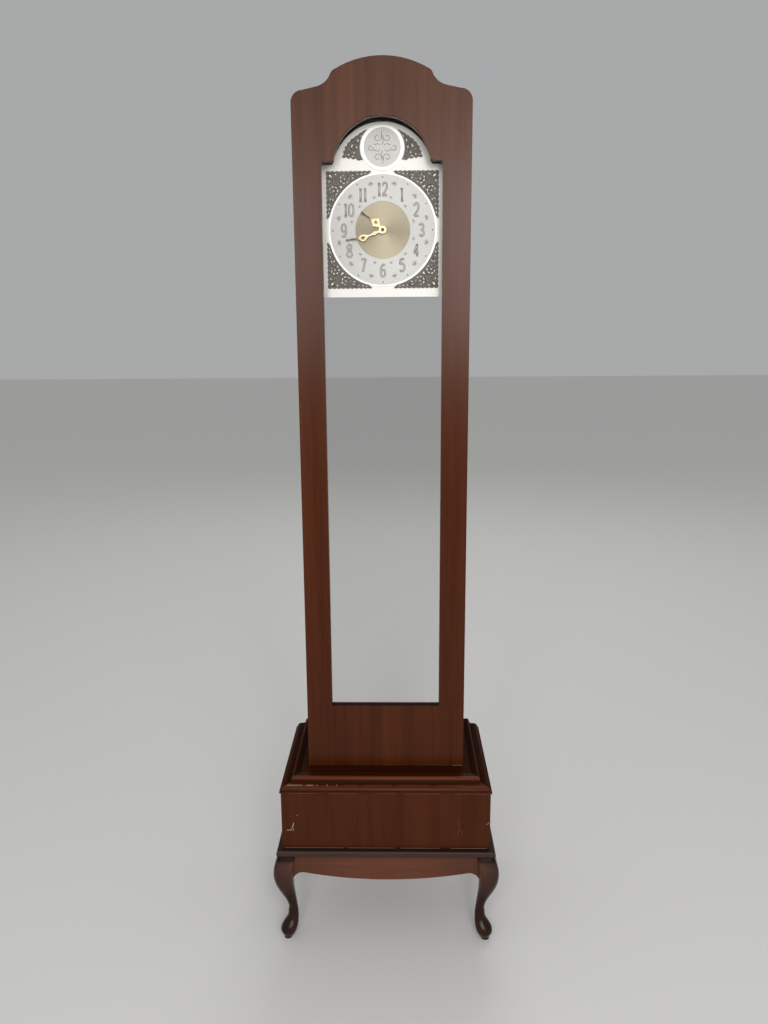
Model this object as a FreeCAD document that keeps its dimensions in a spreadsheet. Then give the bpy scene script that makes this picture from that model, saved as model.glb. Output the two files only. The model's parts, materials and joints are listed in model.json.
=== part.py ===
import FreeCAD, Part
import math
import os
import re
import Sketcher

# A longcase clock on a cabriole stand, in millimetres.
# The origin is on the floor under the middle of the stand. +Z is up and the glazed door faces -Y.

SIZES = {
    # Stand top and aprons
    "stand_width": 478,
    "stand_depth": 326,
    "stand_top_thickness": 16,
    "stand_edge_round": 6,
    "apron_setback": 9,
    "apron_thickness": 20,
    "apron_end_inset": 32,
    "apron_centre_drop": 58,
    "apron_end_drop": 41,
    "apron_corner_round": 25,
    "rear_apron_drop": 45,
    "stand_block_side": 34,
    # Cabriole leg: height, inset from the stand's edge, half width and corner round of each station
    "leg_height": 209,
    "sole_inset": 17.5,
    "sole_half": 9,
    "sole_corner": 8.5,
    "welt_height": 8,
    "welt_inset": 19,
    "welt_half": 12.8,
    "welt_corner": 12,
    "pad_height": 20,
    "pad_inset": 19.7,
    "pad_half": 18,
    "pad_corner": 17,
    "instep_height": 34,
    "instep_inset": 24.2,
    "instep_half": 16.2,
    "instep_corner": 15.2,
    "throat_height": 50,
    "throat_inset": 29,
    "throat_half": 11.6,
    "throat_corner": 10.9,
    "ankle_height": 66,
    "ankle_inset": 29.5,
    "ankle_half": 9.9,
    "ankle_corner": 9.2,
    "shin_height": 92,
    "shin_inset": 25.4,
    "shin_half": 11.5,
    "shin_corner": 10.5,
    "calf_height": 125,
    "calf_inset": 17.4,
    "calf_half": 17.1,
    "calf_corner": 14,
    "knee_height": 160,
    "knee_inset": 13,
    "knee_half": 21.2,
    "knee_corner": 13,
    "post_inset": 21.5,
    "post_half": 19,
    "post_corner": 8,
    # Plinth
    "plinth_side_inset": 12,
    "plinth_front_inset": 13,
    "plinth_height": 133,
    "plinth_board": 18,
    "plinth_block_side": 25,
    "moulding_height": 26,
    "moulding_overhang": 2.5,
    "moulding_strip": 42,
    "moulding_lip": 4.5,
    "moulding_ovolo": 8.5,
    "moulding_fillet": 6,
    "moulding_cove": 6.5,
    "moulding_bead": 6,
    # Trunk
    "door_setback": 66,
    "case_width": 332,
    "case_board": 18,
    "case_height": 1370,
    "floor_thickness": 14,
    "roof_thickness": 16,
    "rear_rail_height": 26,
    "rear_rail_thickness": 18,
    # Door
    "door_width": 343.5,
    "door_thickness": 20,
    "door_clearance": 1.5,
    "door_foot_gap": 2,
    "door_height": 1446,
    "arch_half_width": 90.5,
    "arch_rise": 23.8,
    "arch_end_round": 11.5,
    "arch_end_run": 5,
    "arch_end_fall": 5.7,
    "cove_radius": 37,
    "cove_run": 26.6,
    "cove_fall": 22.3,
    "shoulder_corner": 22,
    "shoulder_fall": 5.9,
    "window_half_width": 117,
    "window_foot": 144,
    "window_step_up": 1262.4,
    "window_arch_radius": 94,
    "window_arch_up": 1344,
    "window_corner": 6,
    "window_fillet": 9,
    "rebate_width": 8,
    "rebate_depth": 6,
    "glass_thickness": 3,
    "glass_clearance": 0.5,
    "bead_width": 7,
    "bead_joint": 0.4,
    # Hinges and catch
    "hinge_barrel_radius": 2.6,
    "hinge_barrel_gap": 0.3,
    "hinge_pin_radius": 1.25,
    "hinge_pin_clearance": 0.05,
    "hinge_leaf_height": 60,
    "hinge_leaf_width": 19,
    "hinge_leaf_thickness": 1.3,
    "hinge_knuckle_gap": 0.2,
    "hinge_low": 150,
    "hinge_high": 1290,
    "hinge_screw_spread": 36,
    "screw_head_radius": 3,
    "screw_shank_radius": 1.5,
    "screw_head_depth": 1.2,
    "screw_length": 13,
    "catch_height": 40,
    "catch_depth": 18,
    "catch_width": 13,
    "catch_up": 640,
    "catch_gap": 0.4,
    "strike_thickness": 0.9,
    # Dial
    "dial_recess": 45,
    "dial_width": 248,
    "dial_foot_up": 1014,
    "dial_square": 252,
    "dial_arch_radius": 100.5,
    "dial_arch_top": 329.5,
    "dial_plate_thickness": 1,
    "dial_centre_up": 128.4,
    "dial_board_thickness": 6,
    "dial_board_margin": 4,
    "batten_width": 24,
    "batten_depth": 20,
    "ring_radius": 107.5,
    "ring_bore_radius": 54.8,
    "ring_thickness": 1.6,
    "disc_radius": 54.5,
    "disc_thickness": 0.8,
    "boss_up": 154.1,
    "boss_ring_radius": 42,
    "boss_ring_bore": 36.3,
    "boss_ring_thickness": 2.2,
    "boss_disc_radius": 36,
    "boss_disc_thickness": 1.2,
    "spandrel_gap": 1,
    "spandrel_band": 3.3,
    "spandrel_reach": 90,
    "spandrel_thickness": 2,
    "arch_spandrel_margin": 8,
    "arch_spandrel_foot": 8,
    "arch_spandrel_top": 62,
    "dial_screw_radius": 1.2,
    "dial_screw_head_radius": 2.6,
    "dial_screw_head_height": 1.6,
    "dial_screw_bite": 1.2,
    "dial_screw_inset": 10,
    # Movement
    "movement_width": 56,
    "movement_depth": 16,
    "movement_wall": 1.2,
    "movement_cover": 1.5,
    "movement_hole_gap": 1,
    "bush_radius": 4,
    "bush_hole_gap": 0.1,
    "bush_length": 5,
    "bush_nut_thickness": 2,
    "bush_nut_flats": 11,
    "hour_pipe_radius": 2.5,
    "arbor_radius": 1.6,
    "running_clearance": 0.05,
    "pivot_radius": 0.5,
    "pivot_depth": 0.9,
    "pinion_arbor_radius": 0.65,
    "wheel_thickness": 1,
    "pinion_extra": 0.3,
    "mesh_play": 0.03,
    "motion_module": 0.4,
    "hour_module": 0.384,
    "centre_module": 0.26,
    "rotor_module": 0.24,
    "cannon_teeth": 12,
    "motion_teeth": 36,
    "motion_pinion_teeth": 10,
    "hour_teeth": 40,
    "setting_teeth": 12,
    "centre_teeth": 80,
    "intermediate_pinion_teeth": 8,
    "intermediate_teeth": 72,
    "rotor_teeth": 8,
    "motion_angle": 200,
    "intermediate_angle": 45,
    "rotor_angle": 100,
    "hour_level": 1.8,
    "motion_level": 3.4,
    "centre_level": 6.4,
    "intermediate_level": 8.7,
    "stator_level": 10.8,
    "motion_stud_radius": 0.8,
    "stator_thickness": 1,
    "stator_half_height": 4.6,
    "stator_left": 18,
    "stator_right": 24,
    "stator_ear": 4,
    "magnet_radius": 2.5,
    "magnet_height": 2,
    "magnet_air_gap": 0.4,
    "coil_up": 24.4,
    "coil_radius": 2.1,
    "coil_end_gap": 1,
    "core_half_height": 0.7,
    "post_radius": 1.4,
    "board_left": 12.5,
    "board_right": 26,
    "board_half_height": 10,
    "bay_wall_drop": 11.2,
    "bay_wall": 1,
    "battery_radius": 7.1,
    "battery_clearance": 0.3,
    "battery_length": 50,
    "battery_drop": 19.6,
    "contact_height": 9,
    "contact_depth": 8,
    "knob_shaft_radius": 1.4,
    "knob_radius": 6,
    "knob_thickness": 4,
    "knob_gap": 0.6,
    # Hands
    "hand_thickness": 0.8,
    "hand_boss_radius": 7.4,
    "hour_hand_forward": 6.2,
    "minute_hand_forward": 8.6,
    "hand_stem": 3,
    "hour_hand_reach": 55,
    "hour_loop_at": 19,
    "hour_loop_radius": 6,
    "minute_hand_reach": 76,
    "minute_loop_at": 41,
    "minute_loop_radius": 6,
    "hand_loop_rim": 1.7,
    "hand_tip": 1,
    "hour_hand_angle": 308.5,
    "minute_hand_angle": 255.5,
    "hand_nut_radius": 3.2,
    "hand_nut_thickness": 2,
    "arbor_tip": 0.4,
}

LEG_STATIONS = ("sole", "welt", "pad", "instep", "throat", "ankle", "shin", "calf", "knee", "post")
LEFT_TURN = 1
RIGHT_TURN = -1

# Gear teeth, as shares of the module: stub teeth with free play
TOOTH_ADDENDUM = 0.75
TOOTH_DEDENDUM = 1.0
TOOTH_TIP = 0.6
TOOTH_ROOT = 1.5

Vector = FreeCAD.Vector
doc = FreeCAD.newDocument("longcase_clock")
sheet = doc.addObject("Spreadsheet::Sheet", "sizes")
for row, (alias, number) in enumerate(SIZES.items(), start=1):
    sheet.set(f"A{row}", alias)
    sheet.set(f"B{row}", str(number))
    sheet.setAlias(f"B{row}", alias)
doc.recompute()

nodes = []


def bound(text):
    """An expression in which each size's name points at its cell."""
    def cell(word):
        """A size's cell, or the word as it stands."""
        return f"sizes.{word.group()}" if word.group() in SIZES else word.group()

    return re.sub(r"[a-z_]+", cell, text)


def value(text):
    """The present value of an expression of sizes."""
    return float(sheet.evalExpression(bound(text)))


def node(shape, label):
    """Mark a document object as one piece of the clock."""
    shape.Label = label
    nodes.append(shape)
    return shape


# Heights and depths that several pieces share
STAND_TOP = "(leg_height + stand_top_thickness)"
PLINTH_RIM = f"({STAND_TOP} + plinth_height)"
PLINTH_TOP = f"({PLINTH_RIM} + moulding_height)"
PLINTH_X = "(stand_width / 2 - plinth_side_inset)"
PLINTH_Y = "(stand_depth / 2 - plinth_front_inset)"
MOULDING_X = f"({PLINTH_X} + moulding_overhang)"
MOULDING_Y = f"({PLINTH_Y} + moulding_overhang)"
DOOR_FRONT = f"(door_setback - {PLINTH_Y})"
DOOR_BACK = f"({DOOR_FRONT} + door_thickness)"
DOOR_FOOT = f"({PLINTH_TOP} + door_foot_gap)"
CASE_FRONT = f"({DOOR_BACK} + door_clearance)"
CASE_X = "(case_width / 2)"
CASE_INNER = f"({CASE_X} - case_board)"
CASE_TOP = f"({PLINTH_TOP} + case_height)"
CASE_BACK = PLINTH_Y
ROOF_UNDER = f"({CASE_TOP} - roof_thickness)"
GLASS_BACK = f"({DOOR_BACK} - rebate_depth + glass_thickness)"
DIAL_FRONT = f"({DOOR_FRONT} + dial_recess)"
DIAL_BACK = f"({DIAL_FRONT} + dial_plate_thickness)"
DIAL_BOARD_BACK = f"({DIAL_BACK} + dial_board_thickness)"
DIAL_FOOT = f"({DOOR_FOOT} + dial_foot_up)"
DIAL_STEP = f"({DIAL_FOOT} + dial_square)"
HAND_Z = f"({DIAL_FOOT} + dial_centre_up)"
BOSS_Z = f"({HAND_Z} + boss_up)"
SPANDREL_HOLLOW = "(ring_radius + spandrel_gap)"
SPANDREL_EDGE = f"({SPANDREL_HOLLOW} + spandrel_band)"
COVER_BACK = f"({DIAL_BACK} + movement_depth)"
COVER_FRONT = f"({COVER_BACK} - movement_cover)"
HINGE_X = f"({CASE_X} + hinge_barrel_gap + hinge_barrel_radius)"
HINGE_Y = f"({DOOR_BACK} + hinge_barrel_gap + hinge_barrel_radius)"


def board(name, x, y, z):
    """A flat board between low and high bounds on each axis."""
    box = doc.addObject("Part::Box", name)
    for side, axis, (low, high) in zip(("Length", "Width", "Height"), "xyz", (x, y, z)):
        box.setExpression(side, bound(f"({high}) - ({low})"))
        box.setExpression(f"Placement.Base.{axis}", bound(low))
    return box


def place(shape, x, y, z):
    """Bind a piece's position to expressions."""
    for axis, where in zip("xyz", (x, y, z)):
        shape.setExpression(f"Placement.Base.{axis}", bound(where))
    return shape


TURNS = {
    "x": FreeCAD.Rotation(Vector(0, 1, 0), 90),
    "y": FreeCAD.Rotation(Vector(1, 0, 0), -90),
    "z": FreeCAD.Rotation(),
}


def rod(name, axis, radius, start, length):
    """A round rod along an axis, from its start point towards the positive side."""
    cylinder = doc.addObject("Part::Cylinder", name)
    cylinder.Placement = FreeCAD.Placement(Vector(), TURNS[axis])
    cylinder.setExpression("Radius", bound(radius))
    cylinder.setExpression("Height", bound(length))
    return place(cylinder, *start)


def axle(name, radius, x, z, front, back):
    """A round rod along Y between two depths."""
    return rod(name, "y", radius, (x, front, z), f"({back}) - ({front})")


def fuse(name, shapes):
    """One solid made of shapes that meet."""
    joined = doc.addObject("Part::MultiFuse", name)
    joined.Shapes = shapes
    joined.Refine = True
    return joined


def group(name, shapes):
    """Separate solids kept together."""
    together = doc.addObject("Part::Compound", name)
    together.Links = shapes
    return together


def cut(name, base, tools):
    """A shape with others taken out of it."""
    tool = tools[0] if len(tools) == 1 else group(f"{name}_tools", tools)
    rest = doc.addObject("Part::Cut", name)
    rest.Base = base
    rest.Tool = tool
    return rest


def mirrored(name, source, normal):
    """A copy of a piece on the other side of a plane through the origin."""
    copy = doc.addObject("Part::Mirroring", name)
    copy.Source = source
    copy.Normal = Vector(*normal)
    return copy


def constrain(sketch, constraint, text):
    """Add a dimension and bind it to an expression."""
    index = sketch.addConstraint(constraint)
    sketch.setExpression(f"Constraints[{index}]", bound(text))


def arc_between(start, end, radius, turn):
    """The shorter arc of a radius between two points, turning left or right on the way."""
    middle = ((start[0] + end[0]) / 2, (start[1] + end[1]) / 2)
    run, rise = end[0] - start[0], end[1] - start[1]
    chord = math.hypot(run, rise)
    height = math.sqrt(max(radius ** 2 - (chord / 2) ** 2, 0))
    centre = (middle[0] - turn * rise / chord * height, middle[1] + turn * run / chord * height)
    first, last = (start, end) if turn == LEFT_TURN else (end, start)
    angles = [math.atan2(point[1] - centre[1], point[0] - centre[0]) for point in (first, last)]
    return Part.ArcOfCircle(Part.Circle(Vector(*centre, 0), Vector(0, 0, 1), radius), *angles)


def draw_outline(sketch, outline):
    """Draw a closed outline of (x, y) corners; a corner with a radius and a turn starts an arc."""
    corners = [(value(corner[0]), value(corner[1])) for corner in outline]
    edges = []
    for index, corner in enumerate(outline):
        start, end = corners[index], corners[(index + 1) % len(corners)]
        if len(corner) == 2:
            edge = sketch.addGeometry(Part.LineSegment(Vector(*start, 0), Vector(*end, 0)), False)
            edges.append((edge, 1, 2))
            continue
        radius, turn = corner[2:]
        edge = sketch.addGeometry(arc_between(start, end, value(radius), turn), False)
        edges.append((edge, 1, 2) if turn == LEFT_TURN else (edge, 2, 1))
        constrain(sketch, Sketcher.Constraint("Radius", edge, value(radius)), radius)
    for index, (edge, head, tail) in enumerate(edges):
        follower, follower_head, _ = edges[(index + 1) % len(edges)]
        sketch.addConstraint(Sketcher.Constraint("Coincident", edge, tail, follower, follower_head))
        for kind, text, number in zip(("DistanceX", "DistanceY"), outline[index], corners[index]):
            constrain(sketch, Sketcher.Constraint(kind, -1, 1, edge, head, number), text)


def draw_circle(sketch, x, y, radius):
    """Draw a circle bound to expressions."""
    centre = (value(x), value(y))
    edge = sketch.addGeometry(Part.Circle(Vector(*centre, 0), Vector(0, 0, 1), value(radius)), False)
    constrain(sketch, Sketcher.Constraint("Radius", edge, value(radius)), radius)
    for kind, text, number in zip(("DistanceX", "DistanceY"), (x, y), centre):
        constrain(sketch, Sketcher.Constraint(kind, -1, 1, edge, 3, number), text)


def draw(body, name, plane, loops, offset="0"):
    """A sketch on one of a body's planes; a loop of three texts is a circle."""
    sketch = body.newObject("Sketcher::SketchObject", name)
    support = next(feature for feature in body.Origin.OriginFeatures if feature.Role == plane)
    sketch.AttachmentSupport = [(support, "")]
    sketch.MapMode = "FlatFace"
    sketch.setExpression("AttachmentOffset.Base.z", bound(offset))
    for loop in loops:
        if isinstance(loop[0], str):
            draw_circle(sketch, *loop)
        else:
            draw_outline(sketch, loop)
    return sketch


def new_body(name):
    """An empty body."""
    return doc.addObject("PartDesign::Body", name)


def feature(body, kind, name, sketch, length, reverse=False):
    """A Pad or a Pocket of a sketch."""
    made = body.newObject(f"PartDesign::{kind}", name)
    made.Profile = sketch
    made.setExpression("Length", bound(length))
    made.Reversed = reverse
    body.Tip = made
    return made


def plate(name, loops, front, thickness):
    """A plate that faces the front, cut to outlines in X and Z."""
    body = new_body(name)
    sketch = draw(body, f"{name}_outline", "XZ_Plane", loops, f"-({front})")
    feature(body, "Pad", f"{name}_pad", sketch, thickness, reverse=True)
    return body


# Stand

def leg_section(station):
    """The rounded square of one station, in the front left corner."""
    half, corner = f"{station}_half", f"{station}_corner"
    x = f"({station}_inset - stand_width / 2)"
    y = f"({station}_inset - stand_depth / 2)"
    flat = f"({half} - {corner})"
    return [
        (f"{x} - {flat}", f"{y} - {half}"),
        (f"{x} + {flat}", f"{y} - {half}", corner, LEFT_TURN),
        (f"{x} + {half}", f"{y} - {flat}"),
        (f"{x} + {half}", f"{y} + {flat}", corner, LEFT_TURN),
        (f"{x} + {flat}", f"{y} + {half}"),
        (f"{x} - {flat}", f"{y} + {half}", corner, LEFT_TURN),
        (f"{x} - {half}", f"{y} + {flat}"),
        (f"{x} - {half}", f"{y} - {flat}", corner, LEFT_TURN),
    ]


def station_height(station):
    """How high a leg's station stands above the floor."""
    return {"sole": "0", "post": "leg_height"}.get(station, f"{station}_height")


def cabriole_leg(name):
    """A leg lofted through its stations: the foot up to the ankle, then the knee up to the post."""
    body = new_body(name)
    sections = []
    for station in LEG_STATIONS:
        height = station_height(station)
        sections.append(draw(body, f"{name}_{station}", "XY_Plane", [leg_section(station)], height))
    ankle = LEG_STATIONS.index("ankle")
    for part, first, last in (("foot", 0, ankle), ("knee", ankle, len(sections) - 1)):
        loft = body.newObject("PartDesign::AdditiveLoft", f"{name}_{part}_loft")
        loft.Profile = sections[first]
        loft.Sections = sections[first + 1:last + 1]
        body.Tip = loft
    return body


def apron_outline(half_span):
    """A rail whose lower edge sags in the middle and rises before it turns down to the legs."""
    top = "leg_height"
    end = f"({half_span} - apron_corner_round)"
    low = "(leg_height - apron_centre_drop)"
    high = "(leg_height - apron_end_drop)"
    sag = f"(({end} ^ 2 + ({high} - {low}) ^ 2) / (2 * ({high} - {low})))"
    foot = f"({high} - apron_corner_round)"
    return [
        (half_span, top),
        (f"-{half_span}", top),
        (f"-{half_span}", foot, "apron_corner_round", RIGHT_TURN),
        (f"-{end}", high, sag, LEFT_TURN),
        ("0", low, sag, LEFT_TURN),
        (end, high, "apron_corner_round", RIGHT_TURN),
        (half_span, foot),
    ]


def front_rail(name, outline):
    """A rail along X whose face stands a little behind the stand's front edge."""
    return plate(name, [outline], "apron_setback - stand_depth / 2", "apron_thickness")


def side_rail(name, outline):
    """A rail along Y behind the stand's left edge."""
    body = new_body(name)
    sketch = draw(body, f"{name}_outline", "YZ_Plane", [outline], "apron_setback - stand_width / 2")
    feature(body, "Pad", f"{name}_pad", sketch, "apron_thickness")
    return body


def stand_block(name, x_side, y_side):
    """A block glued into the corner behind a leg, under the stand top."""
    x = "(stand_width / 2 - apron_setback - apron_thickness)"
    y = "(stand_depth / 2 - apron_setback - apron_thickness)"
    side = "stand_block_side"
    x_bounds = (f"{x} - {side}", x) if x_side > 0 else (f"-{x}", f"{side} - {x}")
    y_bounds = (f"{y} - {side}", y) if y_side > 0 else (f"-{y}", f"{side} - {y}")
    return board(name, x_bounds, y_bounds, ("leg_height - stand_block_side", "leg_height"))


def build_stand():
    """Four legs, four rails, corner blocks and the bullnosed top."""
    front_left = cabriole_leg("leg_a")
    front_right = mirrored("leg_b", front_left, (1, 0, 0))
    rear_left = mirrored("leg_c", front_left, (0, 1, 0))
    rear_right = mirrored("leg_d", front_right, (0, 1, 0))
    legs = [front_left, front_right, rear_left, rear_right]
    for leg, label in zip(legs, ("front_left_leg", "front_right_leg", "rear_left_leg", "rear_right_leg")):
        node(leg, label)

    front_span = "(stand_width / 2 - apron_end_inset)"
    side_span = "(stand_depth / 2 - apron_end_inset)"
    straight = [
        (front_span, "leg_height"),
        (f"-{front_span}", "leg_height"),
        (f"-{front_span}", "leg_height - rear_apron_drop"),
        (front_span, "leg_height - rear_apron_drop"),
    ]
    front = front_rail("apron_front_blank", apron_outline(front_span))
    rear = mirrored("apron_rear_blank", front_rail("apron_rear_flat", straight), (0, 1, 0))
    left = side_rail("apron_left_blank", apron_outline(side_span))
    left_fitted = cut("apron_left", left, [front_left, rear_left])
    node(cut("apron_front", front, [front_left, front_right]), "front_apron")
    node(cut("apron_rear", rear, [rear_left, rear_right]), "rear_apron")
    node(left_fitted, "left_apron")
    node(mirrored("apron_right", left_fitted, (1, 0, 0)), "right_apron")

    blocks = []
    for x_side in (-1, 1):
        for y_side in (-1, 1):
            blocks.append(stand_block(f"stand_block_{len(blocks)}", x_side, y_side))
    node(cut("stand_blocks", group("stand_block_blanks", blocks), legs), "stand_corner_blocks")

    top = board("stand_top_blank", ("-stand_width / 2", "stand_width / 2"),
                ("-stand_depth / 2", "stand_depth / 2"), ("leg_height", STAND_TOP))
    doc.recompute()
    rounded = doc.addObject("Part::Fillet", "stand_top_rounded")
    rounded.Base = top
    flat_edges = [index for index, edge in enumerate(top.Shape.Edges, start=1)
                  if abs(edge.tangentAt(edge.FirstParameter).z) < 0.5]
    radius = value("stand_edge_round")
    rounded.Edges = [(index, radius, radius) for index in flat_edges]
    node(rounded, "stand_top")


# Plinth

def moulding_section(outer, inward):
    """The plinth moulding's section: a lip, an ovolo, a fillet, a cove and a bead up to the flat top."""
    def at(inset, drop):
        across = f"({outer}) + ({inset})" if inward > 0 else f"({outer}) - ({inset})"
        return (across, f"{PLINTH_TOP} - ({drop})")

    lip = "moulding_overhang"
    ovolo_top = f"({lip} + moulding_ovolo)"
    fillet = f"({ovolo_top} + moulding_fillet)"
    cove = f"({fillet} + moulding_cove)"
    bead = f"({cove} + moulding_bead)"
    bead_drop = "moulding_bead"
    cove_drop = f"({bead_drop} + moulding_cove)"
    ovolo_drop = "(moulding_height - moulding_lip - moulding_ovolo)"
    section = [
        at("0", "moulding_height"),
        at("moulding_strip", "moulding_height"),
        at("moulding_strip", "0"),
        at(bead, "0") + ("moulding_bead", LEFT_TURN),
        at(cove, bead_drop) + ("moulding_cove", RIGHT_TURN),
        at(fillet, cove_drop),
        at(ovolo_top, cove_drop),
        at(ovolo_top, ovolo_drop) + ("moulding_ovolo", LEFT_TURN),
        at(lip, "moulding_height - moulding_lip"),
        at("0", "moulding_height - moulding_lip"),
    ]
    return section


def moulding(name, plane, section, length, start, waste):
    """A length of moulding with its mitred ends cut away."""
    body = new_body(name)
    profile = draw(body, f"{name}_section", plane, [section], start)
    feature(body, "Pad", f"{name}_pad", profile, length)
    mitre = draw(body, f"{name}_mitre", "XY_Plane", waste, PLINTH_TOP)
    feature(body, "Pocket", f"{name}_pocket", mitre, "moulding_height")
    return node(body, name)


def build_plinth():
    """The box, its glue blocks, its top board and the mitred moulding."""
    inner_x = f"({PLINTH_X} - plinth_board)"
    inner_y = f"({PLINTH_Y} - plinth_board)"
    rise = (STAND_TOP, PLINTH_RIM)
    node(board("box_front", (f"-{PLINTH_X}", PLINTH_X), (f"-{PLINTH_Y}", f"-{inner_y}"), rise),
         "plinth_front")
    node(board("box_back", (f"-{inner_x}", inner_x), (inner_y, PLINTH_Y), rise), "plinth_back")
    left = board("box_left", (f"-{PLINTH_X}", f"-{inner_x}"), (f"-{inner_y}", PLINTH_Y), rise)
    node(left, "plinth_left")
    node(board("box_right", (inner_x, PLINTH_X), (f"-{inner_y}", PLINTH_Y), rise), "plinth_right")

    side = "plinth_block_side"
    blocks = []
    for x_bounds in ((f"-{inner_x}", f"{side} - {inner_x}"), (f"{inner_x} - {side}", inner_x)):
        for y_bounds in ((f"-{inner_y}", f"{side} - {inner_y}"), (f"{inner_y} - {side}", inner_y)):
            blocks.append(board(f"plinth_block_{len(blocks)}", x_bounds, y_bounds, rise))
    node(group("plinth_blocks", blocks), "plinth_corner_blocks")

    inside_x = f"({MOULDING_X} - moulding_strip)"
    inside_y = f"({MOULDING_Y} - moulding_strip)"
    node(board("box_top", (f"-{inside_x}", inside_x), (f"-{inside_y}", PLINTH_Y), (PLINTH_RIM, PLINTH_TOP)),
         "plinth_top")

    left_waste = [(f"-{MOULDING_X}", f"-{MOULDING_Y}"), (f"-{inside_x}", f"-{inside_y}"),
                  (f"-{MOULDING_X}", f"-{inside_y}")]
    right_waste = [(MOULDING_X, f"-{MOULDING_Y}"), (MOULDING_X, f"-{inside_y}"), (inside_x, f"-{inside_y}")]
    moulding("front_moulding", "YZ_Plane", moulding_section(f"-{MOULDING_Y}", 1), f"2 * {MOULDING_X}",
             f"-{MOULDING_X}", [left_waste, right_waste])
    run = f"{MOULDING_Y} + {PLINTH_Y}"
    front_left = [(f"-{MOULDING_X}", f"-{MOULDING_Y}"), (f"-{inside_x}", f"-{MOULDING_Y}"),
                  (f"-{inside_x}", f"-{inside_y}")]
    left_strip = moulding("left_moulding", "XZ_Plane", moulding_section(f"-{MOULDING_X}", 1), run,
                          f"-{PLINTH_Y}", [front_left])
    node(mirrored("moulding_right", left_strip, (1, 0, 0)), "right_moulding")


# Hinge and screw groups are shared by the trunk and the door

def hinge_foots():
    """The lower ends of the three hinges, measured up from the door's foot."""
    middle = "((hinge_low + hinge_high) / 2)"
    return [f"({DOOR_FOOT} + {up})" for up in ("hinge_low", middle, "hinge_high")]


def wood_screw(name, axis, start):
    """A countersunk screw, head flush at its start point, shank running to the negative side."""
    head = doc.addObject("Part::Cone", f"{name}_head")
    head.Placement = FreeCAD.Placement(Vector(), TURNS[axis])
    head.setExpression("Radius1", bound("screw_shank_radius"))
    head.setExpression("Radius2", bound("screw_head_radius"))
    head.setExpression("Height", bound("screw_head_depth"))
    along = "xyz".index(axis)
    head_start, shank_start = list(start), list(start)
    head_start[along] = f"{start[along]} - screw_head_depth"
    shank_start[along] = f"{start[along]} - screw_length"
    place(head, *head_start)
    shank = rod(f"{name}_shank", axis, "screw_shank_radius", shank_start, "screw_length - screw_head_depth")
    return fuse(name, [head, shank])


def build_hinges():
    """Three butt hinges: leaves let into case side and door back, pins fast in the case leaves."""
    reach = "hinge_leaf_width"
    thick = "hinge_leaf_thickness"
    third = "(hinge_leaf_height / 3)"
    parts = {"case": [], "door": [], "case_screws": [], "door_screws": []}
    mortises = {"case": [], "door": []}
    for number, foot in enumerate(hinge_foots()):
        top = f"({foot} + hinge_leaf_height)"
        low_joint, high_joint = f"({foot} + {third})", f"({foot} + 2 * {third})"
        case_plate = ((f"{CASE_X} - {thick}", CASE_X), (CASE_FRONT, f"{CASE_FRONT} + {reach}"), (foot, top))
        door_plate = ((f"{HINGE_X} - {reach}", HINGE_X), (f"{DOOR_BACK} - {thick}", DOOR_BACK), (foot, top))
        mortises["case"].append(board(f"case_mortise_{number}", *case_plate))
        mortises["door"].append(board(f"door_mortise_{number}", *door_plate))

        case_leaf = [board(f"case_plate_{number}", *case_plate)]
        spans = ((foot, f"{low_joint} - hinge_knuckle_gap"), (f"{high_joint} + hinge_knuckle_gap", top))
        for end, (low, high) in enumerate(spans):
            name = f"case_knuckle_{number}_{end}"
            case_leaf.append(rod(name, "z", "hinge_barrel_radius", (HINGE_X, HINGE_Y, low),
                                 f"{high} - {low}"))
            case_leaf.append(board(f"{name}_web", (CASE_X, HINGE_X), (HINGE_Y, f"{HINGE_Y} + {thick}"),
                                   (low, high)))
        door_leaf = [
            board(f"door_plate_{number}", *door_plate),
            rod(f"door_knuckle_{number}", "z", "hinge_barrel_radius", (HINGE_X, HINGE_Y, low_joint),
                f"{high_joint} - {low_joint}"),
            board(f"door_web_{number}", (f"{HINGE_X} - {thick}", HINGE_X), (DOOR_BACK, HINGE_Y),
                  (low_joint, high_joint)),
        ]
        case_leaf.append(rod(f"hinge_pin_{number}", "z", "hinge_pin_radius", (HINGE_X, HINGE_Y, foot),
                             "hinge_leaf_height"))
        bore = rod(f"hinge_bore_{number}", "z", "hinge_pin_radius + hinge_pin_clearance",
                   (HINGE_X, HINGE_Y, foot), "hinge_leaf_height")
        middle = f"({foot} + hinge_leaf_height / 2)"
        case_screws, door_screws = [], []
        for end, side in enumerate("-+"):
            up = f"{middle} {side} hinge_screw_spread / 2"
            case_screws.append(wood_screw(f"case_screw_{number}_{end}", "x",
                                          (CASE_X, f"{CASE_FRONT} + {reach} * 0.6", up)))
            door_screws.append(wood_screw(f"door_screw_{number}_{end}", "y",
                                          (f"{HINGE_X} - {reach} * 0.6", DOOR_BACK, up)))
        parts["case"].append(cut(f"case_leaf_{number}", fuse(f"case_leaf_blank_{number}", case_leaf),
                                 case_screws))
        parts["door"].append(cut(f"door_leaf_{number}", fuse(f"door_leaf_blank_{number}", door_leaf),
                                 [bore] + door_screws))
        parts["case_screws"] += case_screws
        parts["door_screws"] += door_screws
    screws = {}
    for side in ("case", "door"):
        node(group(f"{side}_leaves", parts[side]), f"{side}_hinge_leaves")
        screws[side] = node(group(f"{side}_screws", parts[f"{side}_screws"]), f"{side}_hinge_screws")
    return mortises, screws


# Trunk

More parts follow.
